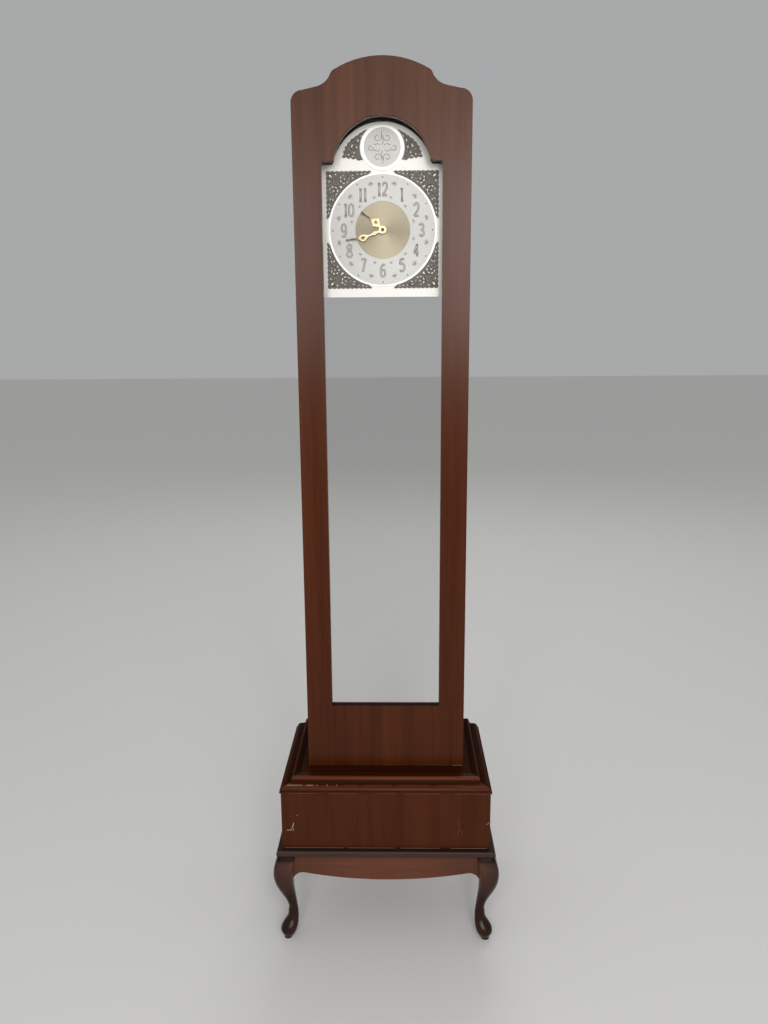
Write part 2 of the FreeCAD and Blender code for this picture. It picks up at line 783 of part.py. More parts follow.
def build_trunk(mortises, screws):
    """Side boards, floor, roof, rear rail and the battens that carry the dial board."""
    depth = (CASE_FRONT, CASE_BACK)
    rise = (PLINTH_TOP, CASE_TOP)
    node(board("side_left", (f"-{CASE_X}", f"-{CASE_INNER}"), depth, rise), "trunk_left_side")
    right = board("side_right_blank", (CASE_INNER, CASE_X), depth, rise)
    node(cut("side_right", right, mortises + [screws]), "trunk_right_side")
    inside = (f"-{CASE_INNER}", CASE_INNER)
    rail = (f"{CASE_BACK} - rear_rail_thickness", CASE_BACK)
    node(board("trunk_floor_board", inside, (CASE_FRONT, rail[0]),
               (PLINTH_TOP, f"{PLINTH_TOP} + floor_thickness")), "trunk_floor")
    node(board("trunk_roof_board", inside, depth, (ROOF_UNDER, CASE_TOP)), "trunk_roof")
    node(board("rail_low", inside, rail, (PLINTH_TOP, f"{PLINTH_TOP} + rear_rail_height")), "rear_rail")
    batten_y = (DIAL_BOARD_BACK, f"{DIAL_BOARD_BACK} + batten_depth")
    batten_z = (f"{DIAL_FOOT} + dial_board_margin", ROOF_UNDER)
    inner = f"({CASE_INNER} - batten_width)"
    battens = [board("batten_left", (f"-{CASE_INNER}", f"-{inner}"), batten_y, batten_z),
               board("batten_right", (inner, CASE_INNER), batten_y, batten_z)]
    node(group("batten_pair", battens), "dial_battens")


# Door

def door_outline():
    """The door's edge: an arched head between coved shoulders with rounded corners."""
    half, foot = "(door_width / 2)", DOOR_FOOT
    arch_end = f"({DOOR_FOOT} + door_height - arch_rise)"
    arch_radius = "((arch_half_width ^ 2 + arch_rise ^ 2) / (2 * arch_rise))"
    round_x = "(arch_half_width + arch_end_run)"
    round_z = f"({arch_end} - arch_end_fall)"
    cove_x = f"({round_x} + cove_run)"
    cove_z = f"({round_z} - cove_fall)"
    corner_x = f"({half} - shoulder_corner)"
    shoulder = f"({cove_z} - shoulder_fall)"
    return [
        (f"-{half}", foot),
        (half, foot),
        (half, f"{shoulder} - shoulder_corner", "shoulder_corner", LEFT_TURN),
        (corner_x, shoulder),
        (cove_x, cove_z, "cove_radius", RIGHT_TURN),
        (round_x, round_z, "arch_end_round", LEFT_TURN),
        ("arch_half_width", arch_end, arch_radius, LEFT_TURN),
        ("-arch_half_width", arch_end, "arch_end_round", LEFT_TURN),
        (f"-{round_x}", round_z, "cove_radius", RIGHT_TURN),
        (f"-{cove_x}", cove_z),
        (f"-{corner_x}", shoulder, "shoulder_corner", LEFT_TURN),
        (f"-{half}", f"{shoulder} - shoulder_corner"),
    ]


ARCH_Z = f"({DOOR_FOOT} + window_arch_up - window_arch_radius)"


def window_outline():
    """The window: square foot, stepped shoulders and an arch eased into them."""
    half, radius, ease, corner = "window_half_width", "window_arch_radius", "window_fillet", "window_corner"
    foot = f"({DOOR_FOOT} + window_foot)"
    step = f"({DOOR_FOOT} + window_step_up)"
    ease_x = f"sqrt(({radius} + {ease}) ^ 2 - ({step} + {ease} - {ARCH_Z}) ^ 2)"
    share = f"({radius} / ({radius} + {ease}))"
    spring_x = f"({ease_x} * {share})"
    spring_z = f"({ARCH_Z} + ({step} + {ease} - {ARCH_Z}) * {share})"
    return [
        (f"-{half}", foot),
        (half, foot),
        (half, f"{step} - {corner}", corner, LEFT_TURN),
        (f"{half} - {corner}", step),
        (ease_x, step, ease, RIGHT_TURN),
        (spring_x, spring_z, radius, LEFT_TURN),
        (f"-{spring_x}", spring_z, ease, RIGHT_TURN),
        (f"-{ease_x}", step),
        (f"{corner} - {half}", step, corner, LEFT_TURN),
        (f"-{half}", f"{step} - {corner}"),
    ]


def rebate_outline(inset):
    """The rebate behind the window, drawn in by an inset on every side."""
    grow = f"(rebate_width - {inset})"
    half, radius = f"(window_half_width + {grow})", f"(window_arch_radius + {grow})"
    foot = f"({DOOR_FOOT} + window_foot - {grow})"
    step = f"({DOOR_FOOT} + window_step_up + {grow})"
    spring = f"sqrt({radius} ^ 2 - ({step} - {ARCH_Z}) ^ 2)"
    return [
        (f"-{half}", foot),
        (half, foot),
        (half, step),
        (spring, step, radius, LEFT_TURN),
        (f"-{spring}", step),
        (f"-{half}", step),
    ]


def build_door(mortises, screws):
    """The veneered panel, its pane, the beads that hold the pane and the catch."""
    panel = plate("door_panel_body", [door_outline(), window_outline()], DOOR_FRONT, "door_thickness")
    rebate = draw(panel, "door_rebate_outline", "XZ_Plane", [rebate_outline("0")], f"-{DOOR_BACK}")
    feature(panel, "Pocket", "door_rebate", rebate, "rebate_depth", reverse=True)
    node(cut("door_panel_cut", panel, mortises + [screws]), "door_panel")

    pane = plate("door_pane", [rebate_outline("glass_clearance")], f"{DOOR_BACK} - rebate_depth",
                 "glass_thickness")
    node(pane, "door_glass")
    inner = "(glass_clearance + bead_width)"
    ring = plate("bead_ring", [rebate_outline("0"), rebate_outline(inner)], GLASS_BACK,
                 f"{DOOR_BACK} - {GLASS_BACK}")
    joints = []
    reach = "window_half_width + rebate_width"
    low = f"({DOOR_FOOT} + window_foot - rebate_width + glass_clearance + bead_width)"
    high = f"({DOOR_FOOT} + window_step_up + rebate_width - glass_clearance - bead_width)"
    for number, (start, end) in enumerate(((f"{low} - bead_joint", low), (high, f"{high} + bead_joint"))):
        joints.append(board(f"bead_joint_{number}", (f"-({reach})", reach), (GLASS_BACK, DOOR_BACK),
                            (start, end)))
    node(cut("beads", ring, joints), "glazing_beads")

    strike_x = (f"-{CASE_INNER}", f"catch_width - {CASE_INNER}")
    up = f"({DOOR_FOOT} + catch_up)"
    rise = (up, f"{up} + catch_height")
    node(board("strike", strike_x, (DOOR_BACK, f"{DOOR_BACK} + strike_thickness"), rise), "catch_strike")
    magnet_front = f"({DOOR_BACK} + strike_thickness + catch_gap)"
    node(board("magnet", strike_x, (magnet_front, f"{magnet_front} + catch_depth"), rise), "catch_magnet")


# Dial

def dial_outline():
    """A square plate with an arch on top."""
    half, radius = "(dial_width / 2)", "dial_arch_radius"
    centre = f"({DIAL_FOOT} + dial_arch_top - {radius})"
    spring = f"sqrt({radius} ^ 2 - ({DIAL_STEP} - {centre}) ^ 2)"
    return [
        (f"-{half}", DIAL_FOOT),
        (half, DIAL_FOOT),
        (half, DIAL_STEP),
        (spring, DIAL_STEP, radius, LEFT_TURN),
        (f"-{spring}", DIAL_STEP),
        (f"-{half}", DIAL_STEP),
    ]


def corner_spandrel(name, x_side, z_side):
    """An ornament in a corner of the square, hollowed to follow the chapter ring."""
    end = f"({SPANDREL_EDGE} - spandrel_reach)"
    rim = f"sqrt({SPANDREL_HOLLOW} ^ 2 - {end} ^ 2)"
    outline = [
        (f"{x_side} * {SPANDREL_EDGE}", f"{HAND_Z} + {z_side} * {SPANDREL_EDGE}"),
        (f"{x_side} * {end}", f"{HAND_Z} + {z_side} * {SPANDREL_EDGE}"),
        (f"{x_side} * {end}", f"{HAND_Z} + {z_side} * {rim}", SPANDREL_HOLLOW,
         RIGHT_TURN * x_side * z_side),
        (f"{x_side} * {rim}", f"{HAND_Z} + {z_side} * {end}"),
        (f"{x_side} * {SPANDREL_EDGE}", f"{HAND_Z} + {z_side} * {end}"),
    ]
    return plate(name, [outline], f"{DIAL_FRONT} - spandrel_thickness", "spandrel_thickness")


def arch_spandrel(name, side):
    """An ornament between the boss and the arch's edge."""
    outer = "(dial_arch_radius - arch_spandrel_margin)"
    centre = f"({DIAL_FOOT} + dial_arch_top - dial_arch_radius)"
    inner = "(boss_ring_radius + spandrel_gap)"
    low = f"({DIAL_STEP} + arch_spandrel_foot)"
    top = f"({DIAL_STEP} + arch_spandrel_top)"
    outer_low = f"{side} * sqrt({outer} ^ 2 - ({low} - {centre}) ^ 2)"
    outer_top = f"{side} * sqrt({outer} ^ 2 - ({top} - {centre}) ^ 2)"
    inner_low = f"{side} * sqrt({inner} ^ 2 - ({low} - {BOSS_Z}) ^ 2)"
    inner_top = f"{side} * sqrt({inner} ^ 2 - ({top} - {BOSS_Z}) ^ 2)"
    turn = LEFT_TURN * side
    outline = [
        (outer_low, low, outer, turn),
        (outer_top, top),
        (inner_top, top, inner, -turn),
        (inner_low, low),
    ]
    return plate(name, [outline], f"{DIAL_FRONT} - spandrel_thickness", "spandrel_thickness")


def dial_screw(name, x, z):
    """A pan head screw put in from behind the dial board into a spandrel."""
    tip = f"{DIAL_FRONT} - dial_screw_bite"
    head = f"{DIAL_BOARD_BACK} + dial_screw_head_height"
    shank = axle(f"{name}_shank", "dial_screw_radius", x, z, tip, DIAL_BOARD_BACK)
    return fuse(name, [shank, axle(f"{name}_head", "dial_screw_head_radius", x, z, DIAL_BOARD_BACK, head)])


def build_dial():
    """The dial board, the plate and everything fixed on its face."""
    bush_hole = ("0", HAND_Z, "bush_radius + bush_hole_gap")
    screws = []
    spandrels = []
    for x_side in (-1, 1):
        for z_side in (-1, 1):
            number = len(screws)
            x = f"{x_side} * ({SPANDREL_EDGE} - dial_screw_inset)"
            z = f"{HAND_Z} + {z_side} * ({SPANDREL_EDGE} - dial_screw_inset)"
            screws.append(dial_screw(f"dial_screw_{number}", x, z))
            blank = corner_spandrel(f"spandrel_blank_{number}", x_side, z_side)
            spandrels.append(cut(f"spandrel_{number}", blank, [screws[-1]]))
    node(group("dial_screw_group", screws), "dial_screws")
    node(group("corner_spandrel_group", spandrels), "corner_spandrels")
    arch_pair = [arch_spandrel("arch_spandrel_left", -1), arch_spandrel("arch_spandrel_right", 1)]
    node(group("arch_spandrel_group", arch_pair), "arch_spandrels")

    face = plate("dial_plate_blank", [dial_outline(), bush_hole], DIAL_FRONT, "dial_plate_thickness")
    node(cut("dial_plate_drilled", face, screws), "dial_plate")
    opening = "(movement_width / 2 + movement_hole_gap)"
    hole = [(f"-{opening}", f"{HAND_Z} - {opening}"), (opening, f"{HAND_Z} - {opening}"),
            (opening, f"{HAND_Z} + {opening}"), (f"-{opening}", f"{HAND_Z} + {opening}")]
    low = f"({DIAL_FOOT} + dial_board_margin)"
    panel = [(f"-{CASE_INNER}", low), (CASE_INNER, low),
             (CASE_INNER, ROOF_UNDER), (f"-{CASE_INNER}", ROOF_UNDER)]
    blank = plate("dial_board_blank", [panel, hole], DIAL_BACK, "dial_board_thickness")
    node(cut("dial_board_drilled", blank, screws), "dial_board")

    ring = [("0", HAND_Z, "ring_radius"), ("0", HAND_Z, "ring_bore_radius")]
    node(plate("ring", ring, f"{DIAL_FRONT} - ring_thickness", "ring_thickness"), "chapter_ring")
    disc = [("0", HAND_Z, "disc_radius"), bush_hole]
    node(plate("disc", disc, f"{DIAL_FRONT} - disc_thickness", "disc_thickness"), "dial_centre")
    rim = [("0", BOSS_Z, "boss_ring_radius"), ("0", BOSS_Z, "boss_ring_bore")]
    node(plate("rim", rim, f"{DIAL_FRONT} - boss_ring_thickness", "boss_ring_thickness"), "boss_ring")
    node(plate("boss", [("0", BOSS_Z, "boss_disc_radius")], f"{DIAL_FRONT} - boss_disc_thickness",
               "boss_disc_thickness"), "boss_disc")


# Movement

def pair_distance(module, first, second):
    """The distance between the arbors of two wheels in mesh."""
    return f"({module} * ({first} + {second}) / 2 + mesh_play)"


MOTION = pair_distance("motion_module", "cannon_teeth", "motion_teeth")
SETTING = pair_distance("motion_module", "motion_teeth", "setting_teeth")
CENTRE = pair_distance("centre_module", "centre_teeth", "intermediate_pinion_teeth")
ROTOR = pair_distance("rotor_module", "intermediate_teeth", "rotor_teeth")
MOTION_X = f"({MOTION} * cos(motion_angle))"
MOTION_Z = f"({HAND_Z} + {MOTION} * sin(motion_angle))"
KNOB_X = f"(({MOTION} + {SETTING}) * cos(motion_angle))"
KNOB_Z = f"({HAND_Z} + ({MOTION} + {SETTING}) * sin(motion_angle))"
INTER_X = f"({CENTRE} * cos(intermediate_angle))"
INTER_Z = f"({HAND_Z} + {CENTRE} * sin(intermediate_angle))"
ROTOR_X = f"({INTER_X} + {ROTOR} * cos(rotor_angle))"
ROTOR_Z = f"({INTER_Z} + {ROTOR} * sin(rotor_angle))"


def toothed(name, module, teeth, x, z, level, thickness, first_tooth):
    """A toothed disc whose first tooth points at an angle from +X towards +Z."""
    body = new_body(name)
    root = f"({module} * ({teeth} / 2 - {TOOTH_DEDENDUM}))"
    tip = f"({module} * ({teeth} / 2 + {TOOTH_ADDENDUM}))"
    disc = draw(body, f"{name}_disc", "XZ_Plane", [("0", "0", root)])
    feature(body, "Pad", f"{name}_disc_pad", disc, thickness, reverse=True)
    inner = f"({root} * cos(90 / {teeth}))"
    outline = [
        (inner, f"-{module} * {TOOTH_ROOT} / 2"),
        (tip, f"-{module} * {TOOTH_TIP} / 2"),
        (tip, f"{module} * {TOOTH_TIP} / 2"),
        (inner, f"{module} * {TOOTH_ROOT} / 2"),
        ("0", "0"),
    ]
    tooth = draw(body, f"{name}_tooth", "XZ_Plane", [outline])
    tooth_pad = feature(body, "Pad", f"{name}_tooth_pad", tooth, thickness, reverse=True)
    pattern = body.newObject("PartDesign::PolarPattern", f"{name}_teeth")
    pattern.Originals = [tooth_pad]
    pattern.Axis = (disc, ["N_Axis"])
    pattern.Angle = 360
    pattern.setExpression("Occurrences", bound(teeth))
    body.Tip = pattern
    turn = FreeCAD.Rotation(Vector(0, -1, 0), first_tooth)
    body.Placement = FreeCAD.Placement(Vector(), turn)
    return place(body, x, f"{DIAL_BACK} + {level}", z)


def mate_tooth(first_tooth, teeth, mate_teeth, direction):
    """The first tooth of a wheel that meshes with another across a direction, in degrees."""
    pitch = 360 / value(teeth)
    share = ((direction - first_tooth) / pitch) % 1
    return direction + 180 + 360 / value(mate_teeth) * (0.5 + share)


def pivots(name, x, z, front, back, radius):
    """An arbor with a thinner pivot in the shell's front wall and one in the back cover."""
    wall = f"({DIAL_BACK} + movement_wall)"
    return [
        axle(f"{name}_arbor", radius, x, z, front, back),
        axle(f"{name}_front_pivot", "pivot_radius", x, z, f"{wall} - pivot_depth", front),
        axle(f"{name}_back_pivot", "pivot_radius", x, z, back, f"{COVER_FRONT} + pivot_depth"),
    ]


def bearing(name, x, z):
    """The two holes that an arbor's pivots run in."""
    wall = f"({DIAL_BACK} + movement_wall)"
    radius = "pivot_radius + running_clearance"
    return (axle(f"{name}_front_hole", radius, x, z, f"{wall} - pivot_depth - running_clearance", wall),
            axle(f"{name}_back_hole", radius, x, z, COVER_FRONT,
                 f"{COVER_FRONT} + pivot_depth + running_clearance"))


def build_shell(knob_hole):
    """The moulded shell with its bush, posts and battery wall, and the back cover."""
    half = "(movement_width / 2)"
    inner = "(movement_width / 2 - movement_wall)"
    wall = f"({DIAL_BACK} + movement_wall)"
    stator_front = f"({DIAL_BACK} + stator_level)"
    tray = board("shell_block", (f"-{half}", half), (DIAL_BACK, COVER_FRONT),
                 (f"{HAND_Z} - {half}", f"{HAND_Z} + {half}"))
    hollow = board("shell_hollow", (f"-{inner}", inner), (wall, COVER_FRONT),
                   (f"{HAND_Z} - {inner}", f"{HAND_Z} + {inner}"))
    tray = cut("shell_tray", tray, [hollow])
    added = [
        axle("bush", "bush_radius", "0", HAND_Z, f"{DIAL_BACK} - bush_length", DIAL_BACK),
        board("bay_partition", (f"-{inner}", inner), (wall, COVER_FRONT),
              (f"{HAND_Z} - bay_wall_drop - bay_wall", f"{HAND_Z} - bay_wall_drop")),
        axle("motion_stud", "motion_stud_radius", MOTION_X, MOTION_Z, wall,
             f"{DIAL_BACK} + motion_level + wheel_thickness + pinion_extra"),
    ]
    ear = "(stator_ear / 2)"
    posts = [(f"{ear} - stator_left", ROTOR_Z), (f"stator_right - {ear}", ROTOR_Z)]
    posts += [("board_right - 2 * post_radius", f"{HAND_Z} {side} board_half_height / 2") for side in "-+"]
    for number, (x, z) in enumerate(posts):
        added.append(axle(f"post_{number}", "post_radius", x, z, wall, stator_front))
    bush_bore = axle("bush_bore", "hour_pipe_radius + running_clearance", "0", HAND_Z,
                     f"{DIAL_BACK} - bush_length", wall)
    bearings = [bearing("intermediate", INTER_X, INTER_Z), bearing("rotor", ROTOR_X, ROTOR_Z),
                bearing("centre", "0", HAND_Z), bearing("knob", KNOB_X, KNOB_Z)]
    front_holes = [bearings[0][0], bearings[1][0], bearings[3][0]]
    back_holes = [bearings[0][1], bearings[1][1], bearings[2][1]]
    shell = fuse("shell_solid", [tray] + added)
    node(cut("shell", shell, [bush_bore] + front_holes), "movement_shell")

    lid = board("cover_blank", (f"-{half}", half), (COVER_FRONT, COVER_BACK),
                (f"{HAND_Z} - {half}", f"{HAND_Z} + {half}"))
    bay = board("bay_opening", (f"-{inner}", inner), (COVER_FRONT, COVER_BACK),
                (f"{HAND_Z} - {inner}", f"{HAND_Z} - bay_wall_drop - bay_wall"))
    node(cut("cover", lid, [bay, knob_hole] + back_holes), "movement_cover")


def build_train():
    """The wheels, from the stepping rotor to the hour pipe, and the setting knob."""
    thick, wide = "wheel_thickness", "wheel_thickness + 2 * pinion_extra"
    pinion_depth = "(motion_level - hour_level)"
    motion_way = value("motion_angle")
    inter_way = value("intermediate_angle")
    rotor_way = value("rotor_angle")
    cannon_tooth = motion_way
    motion_tooth = mate_tooth(cannon_tooth, "cannon_teeth", "motion_teeth", motion_way)
    setting_tooth = mate_tooth(motion_tooth, "motion_teeth", "setting_teeth", motion_way)
    pinion_tooth = motion_way + 180
    hour_tooth = mate_tooth(pinion_tooth, "motion_pinion_teeth", "hour_teeth", motion_way + 180)
    centre_tooth = inter_way
    inter_pinion_tooth = mate_tooth(centre_tooth, "centre_teeth", "intermediate_pinion_teeth", inter_way)
    inter_tooth = rotor_way
    rotor_tooth = mate_tooth(inter_tooth, "intermediate_teeth", "rotor_teeth", rotor_way)

    def level(name):
        return f"({DIAL_BACK} + {name})"

    arbor_tip = f"({DIAL_BACK} - minute_hand_forward - hand_thickness - hand_nut_thickness - arbor_tip)"
    centre_back = f"({level('centre_level')} + {wide})"
    arbor = fuse("centre_arbor_solid", [
        axle("arbor_front", "arbor_radius", "0", HAND_Z, arbor_tip, centre_back),
        axle("arbor_back", "pivot_radius", "0", HAND_Z, centre_back, f"{COVER_FRONT} + pivot_depth"),
        toothed("cannon_pinion", "motion_module", "cannon_teeth", "0", HAND_Z,
                "motion_level - pinion_extra", wide, cannon_tooth),
        toothed("centre_wheel", "centre_module", "centre_teeth", "0", HAND_Z,
                "centre_level", thick, centre_tooth),
    ])
    node(arbor, "centre_arbor")

    hour_back = f"({level('hour_level')} + {thick})"
    pipe_front = f"({DIAL_BACK} - hour_hand_forward - hand_thickness - arbor_tip)"
    hour = fuse("hour_wheel_solid", [
        toothed("hour_disc", "hour_module", "hour_teeth", "0", HAND_Z, "hour_level", thick, hour_tooth),
        axle("hour_pipe", "hour_pipe_radius", "0", HAND_Z, pipe_front, hour_back),
    ])
    bore = axle("hour_bore", "arbor_radius + running_clearance", "0", HAND_Z, pipe_front, hour_back)
    node(cut("hour_wheel_bored", hour, [bore]), "hour_wheel")

    motion = fuse("motion_wheel_solid", [
        toothed("motion_disc", "motion_module", "motion_teeth", MOTION_X, MOTION_Z,
                "motion_level", thick, motion_tooth),
        toothed("motion_pinion", "hour_module", "motion_pinion_teeth", MOTION_X, MOTION_Z,
                "hour_level - pinion_extra", f"{pinion_depth} + pinion_extra", pinion_tooth),
    ])
    stud_hole = axle("motion_bore", "motion_stud_radius + running_clearance", MOTION_X, MOTION_Z,
                     f"{level('hour_level')} - pinion_extra", f"{level('motion_level')} + {thick}")
    node(cut("motion_wheel_bored", motion, [stud_hole]), "motion_wheel")

    inter_front = f"({DIAL_BACK} + movement_wall + pinion_extra)"
    inter_back = f"({COVER_FRONT} - pinion_extra)"
    inter_arbor = pivots("intermediate", INTER_X, INTER_Z, inter_front, inter_back, "pinion_arbor_radius")
    node(fuse("intermediate_solid", inter_arbor + [
        toothed("intermediate_pinion", "centre_module", "intermediate_pinion_teeth", INTER_X, INTER_Z,
                "centre_level - pinion_extra", wide, inter_pinion_tooth),
        toothed("intermediate_disc", "rotor_module", "intermediate_teeth", INTER_X, INTER_Z,
                "intermediate_level", thick, inter_tooth),
    ]), "intermediate_wheel")
    magnet_front = f"({DIAL_BACK} + stator_level + stator_thickness / 2 - magnet_height / 2)"
    rotor_arbor = pivots("rotor", ROTOR_X, ROTOR_Z, inter_front, inter_back, "pinion_arbor_radius")
    node(fuse("rotor_solid", rotor_arbor + [
        toothed("rotor_pinion", "rotor_module", "rotor_teeth", ROTOR_X, ROTOR_Z,
                "intermediate_level - pinion_extra / 2", "wheel_thickness + pinion_extra", rotor_tooth),
        axle("magnet_disc", "magnet_radius", ROTOR_X, ROTOR_Z, magnet_front,
             f"{magnet_front} + magnet_height"),
    ]), "rotor")

    knob_front = f"({COVER_BACK} + knob_gap)"
    node(fuse("knob_solid", [
        toothed("setting_pinion", "motion_module", "setting_teeth", KNOB_X, KNOB_Z,
                "motion_level - pinion_extra", wide, setting_tooth),
        axle("knob_front_pivot", "pivot_radius", KNOB_X, KNOB_Z,
             f"{DIAL_BACK} + movement_wall - pivot_depth", level("motion_level")),
        axle("knob_shaft", "knob_shaft_radius", KNOB_X, KNOB_Z, level("motion_level"), knob_front),
        axle("knob_disc", "knob_radius", KNOB_X, KNOB_Z, knob_front, f"{knob_front} + knob_thickness"),
    ]), "setting_knob")
    return axle("knob_hole", "knob_shaft_radius + running_clearance", KNOB_X, KNOB_Z,
                COVER_FRONT, COVER_BACK)


def build_electrics():
    """The stepping motor's stator and coil, the circuit board, the battery and its contacts."""
    front = f"({DIAL_BACK} + stator_level)"
    back = f"({front} + stator_thickness)"
    strip = board("stator_strip", ("-stator_left", "stator_right"), (front, back),
                  (f"{ROTOR_Z} - stator_half_height", f"{ROTOR_Z} + stator_half_height"))
    top = f"({HAND_Z} + coil_up + core_half_height)"
    ears = [
        board("stator_ear_left", ("-stator_left", "stator_ear - stator_left"), (front, back), (ROTOR_Z, top)),
        board("stator_ear_right", ("stator_right - stator_ear", "stator_right"), (front, back),
              (ROTOR_Z, top)),
    ]
    eye = axle("stator_eye", "magnet_radius + magnet_air_gap", ROTOR_X, ROTOR_Z, front, back)
    node(cut("stator_plate", fuse("stator_blank", [strip] + ears), [eye]), "stator")

    core_back = f"({back} + stator_thickness)"
    core = board("coil_core", ("-stator_left", "stator_right"), (back, core_back),
                 (f"{HAND_Z} + coil_up - core_half_height", top))
    coil_start = "(stator_ear - stator_left + coil_end_gap)"
    winding = rod("winding", "x", "coil_radius",
                  (coil_start, f"{back} + stator_thickness / 2", f"{HAND_Z} + coil_up"),
                  f"stator_right - stator_ear - coil_end_gap - {coil_start}")
    node(fuse("coil_solid", [core, winding]), "motor_coil")

    node(board("board", ("board_left", "board_right"), (front, back),
               (f"{HAND_Z} - board_half_height", f"{HAND_Z} + board_half_height")), "circuit_board")

    cell_y = f"({DIAL_BACK} + movement_wall + battery_clearance + battery_radius)"
    cell_z = f"({HAND_Z} - battery_drop)"
    half = "(battery_length / 2)"
    node(rod("cell", "x", "battery_radius", (f"-{half}", cell_y, cell_z), "battery_length"), "battery")
    inner = "(movement_width / 2 - movement_wall)"
    y_bounds = (f"{cell_y} - contact_depth / 2", f"{cell_y} + contact_depth / 2")
    z_bounds = (f"{cell_z} - contact_height / 2", f"{cell_z} + contact_height / 2")
    node(group("contacts", [board("contact_left", (f"-{inner}", f"-{half}"), y_bounds, z_bounds),
                            board("contact_right", (half, inner), y_bounds, z_bounds)]), "battery_contacts")


# Hands

def hand(name, forward, reach, loop_at, loop_radius, hole, angle):
    """A pierced hand: a boss, a slim stem, an open loop and a pointed tip, turned clockwise from twelve."""
    body = new_body(name)
    stem = "(hand_stem / 2)"
    outline = [(f"-{stem}", "0"), (stem, "0"), ("hand_tip / 2", reach), ("-hand_tip / 2", reach)]
    for part, loop in (("boss", ("0", "0", "hand_boss_radius")), ("stem", outline),
                       ("loop", ("0", loop_at, loop_radius))):
        sketch = draw(body, f"{name}_{part}", "XZ_Plane", [loop])
        feature(body, "Pad", f"{name}_{part}_pad", sketch, "hand_thickness", reverse=True)
    holes = draw(body, f"{name}_holes", "XZ_Plane",
                 [("0", "0", hole), ("0", loop_at, f"{loop_radius} - hand_loop_rim")])
    feature(body, "Pocket", f"{name}_pierced", holes, "hand_thickness", reverse=False)
    body.Placement = FreeCAD.Placement(Vector(), FreeCAD.Rotation(Vector(0, 1, 0), value(angle)))
    return place(body, "0", f"{DIAL_BACK} - {forward} - hand_thickness", HAND_Z)


def build_hands():
    """The two hands, the hand nut and the nut that clamps the movement to the dial."""
    node(hand("short_hand", "hour_hand_forward", "hour_hand_reach", "hour_loop_at", "hour_loop_radius",
              "hour_pipe_radius", "hour_hand_angle"), "hour_hand")
    node(hand("long_hand", "minute_hand_forward", "minute_hand_reach", "minute_loop_at",
              "minute_loop_radius", "arbor_radius", "minute_hand_angle"), "minute_hand")
    nut_back = f"({DIAL_BACK} - minute_hand_forward - hand_thickness)"
    nut_front = f"({nut_back} - hand_nut_thickness)"
    cap = axle("hand_nut_blank", "hand_nut_radius", "0", HAND_Z, nut_front, nut_back)
    cap_bore = axle("hand_nut_bore", "arbor_radius", "0", HAND_Z, nut_front, nut_back)
    node(cut("hand_nut_bored", cap, [cap_bore]), "hand_nut")

    seat = f"({DIAL_FRONT} - disc_thickness)"
    corner = "(bush_nut_flats / 2 / cos(30))"
    hexagon = [(f"{corner} * cos({turn})", f"{HAND_Z} + {corner} * sin({turn})")
               for turn in range(0, 360, 60)]
    node(plate("hex_nut", [hexagon, ("0", HAND_Z, "bush_radius")], f"{seat} - bush_nut_thickness",
               "bush_nut_thickness"), "bush_nut")


def check_and_export():
    """Stop on any failed object or bad solid, then write every piece."""
    doc.recompute()
    failed = [thing.Name for thing in doc.Objects if {"Invalid", "Error"} & set(thing.State)]
    if failed:
        raise RuntimeError(f"objects that failed: {failed}")
    for piece in nodes:
        if piece.Shape.isNull() or not piece.Shape.isValid() or not piece.Shape.Solids:
            raise RuntimeError(f"{piece.Label} has no valid solid")
    os.makedirs("parts", exist_ok=True)
    for piece in nodes:
        piece.Shape.exportStep(f"parts/{piece.Label}.step")
    print(len(nodes), "pieces written")


build_stand()
build_plinth()
hinge_mortises, hinge_screws = build_hinges()
build_trunk(hinge_mortises["case"], hinge_screws["case"])
build_door(hinge_mortises["door"], hinge_screws["door"])
build_dial()
build_shell(build_train())
build_electrics()
build_hands()
check_and_export()
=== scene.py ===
"""Looks of a longcase clock: its finishes, dial work, hands, studio and camera."""

import json
import logging
import math
from dataclasses import dataclass, field
from enum import Enum

import bmesh
import bpy
from bpy.types import ID, Curve, Material, Mesh, Node, Object
from bpy.types import NodeSocket as Socket
from mathutils import Matrix, Vector


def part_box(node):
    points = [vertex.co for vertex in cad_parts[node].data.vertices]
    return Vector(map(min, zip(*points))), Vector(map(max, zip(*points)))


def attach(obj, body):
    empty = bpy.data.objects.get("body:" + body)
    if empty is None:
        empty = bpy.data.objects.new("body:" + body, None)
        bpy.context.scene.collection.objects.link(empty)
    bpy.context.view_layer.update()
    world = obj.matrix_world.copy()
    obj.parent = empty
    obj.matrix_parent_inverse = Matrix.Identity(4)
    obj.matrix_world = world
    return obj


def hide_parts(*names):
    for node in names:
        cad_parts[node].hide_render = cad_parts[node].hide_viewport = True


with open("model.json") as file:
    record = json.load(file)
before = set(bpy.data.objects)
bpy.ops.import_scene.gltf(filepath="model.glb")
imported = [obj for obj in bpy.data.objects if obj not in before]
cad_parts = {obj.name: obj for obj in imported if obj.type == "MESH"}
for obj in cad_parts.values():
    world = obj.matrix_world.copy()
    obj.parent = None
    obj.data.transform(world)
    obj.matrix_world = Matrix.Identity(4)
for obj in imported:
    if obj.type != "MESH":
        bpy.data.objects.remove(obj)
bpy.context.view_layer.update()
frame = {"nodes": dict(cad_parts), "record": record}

SLOTS = {entry["node"]: entry["material_slot"] for entry in frame["record"]["subparts"]}
BODIES = {node: body for body, nodes in frame["record"]["behaviour"]["bodies"].items() for node in nodes}
MM = 0.001
FULL_TURN = 360.0
HOURS = 12
MINUTES = 60

Colour = tuple[float, float, float]
Place = tuple[float, float, float]
Pair = tuple[float, float]
Round = tuple[float, float, int]
Outline = list[Pair]
Drawing = tuple[list[Outline], list[Outline]]
Run = tuple[tuple[float, Colour], ...]

log = logging.getLogger("longcase_clock")


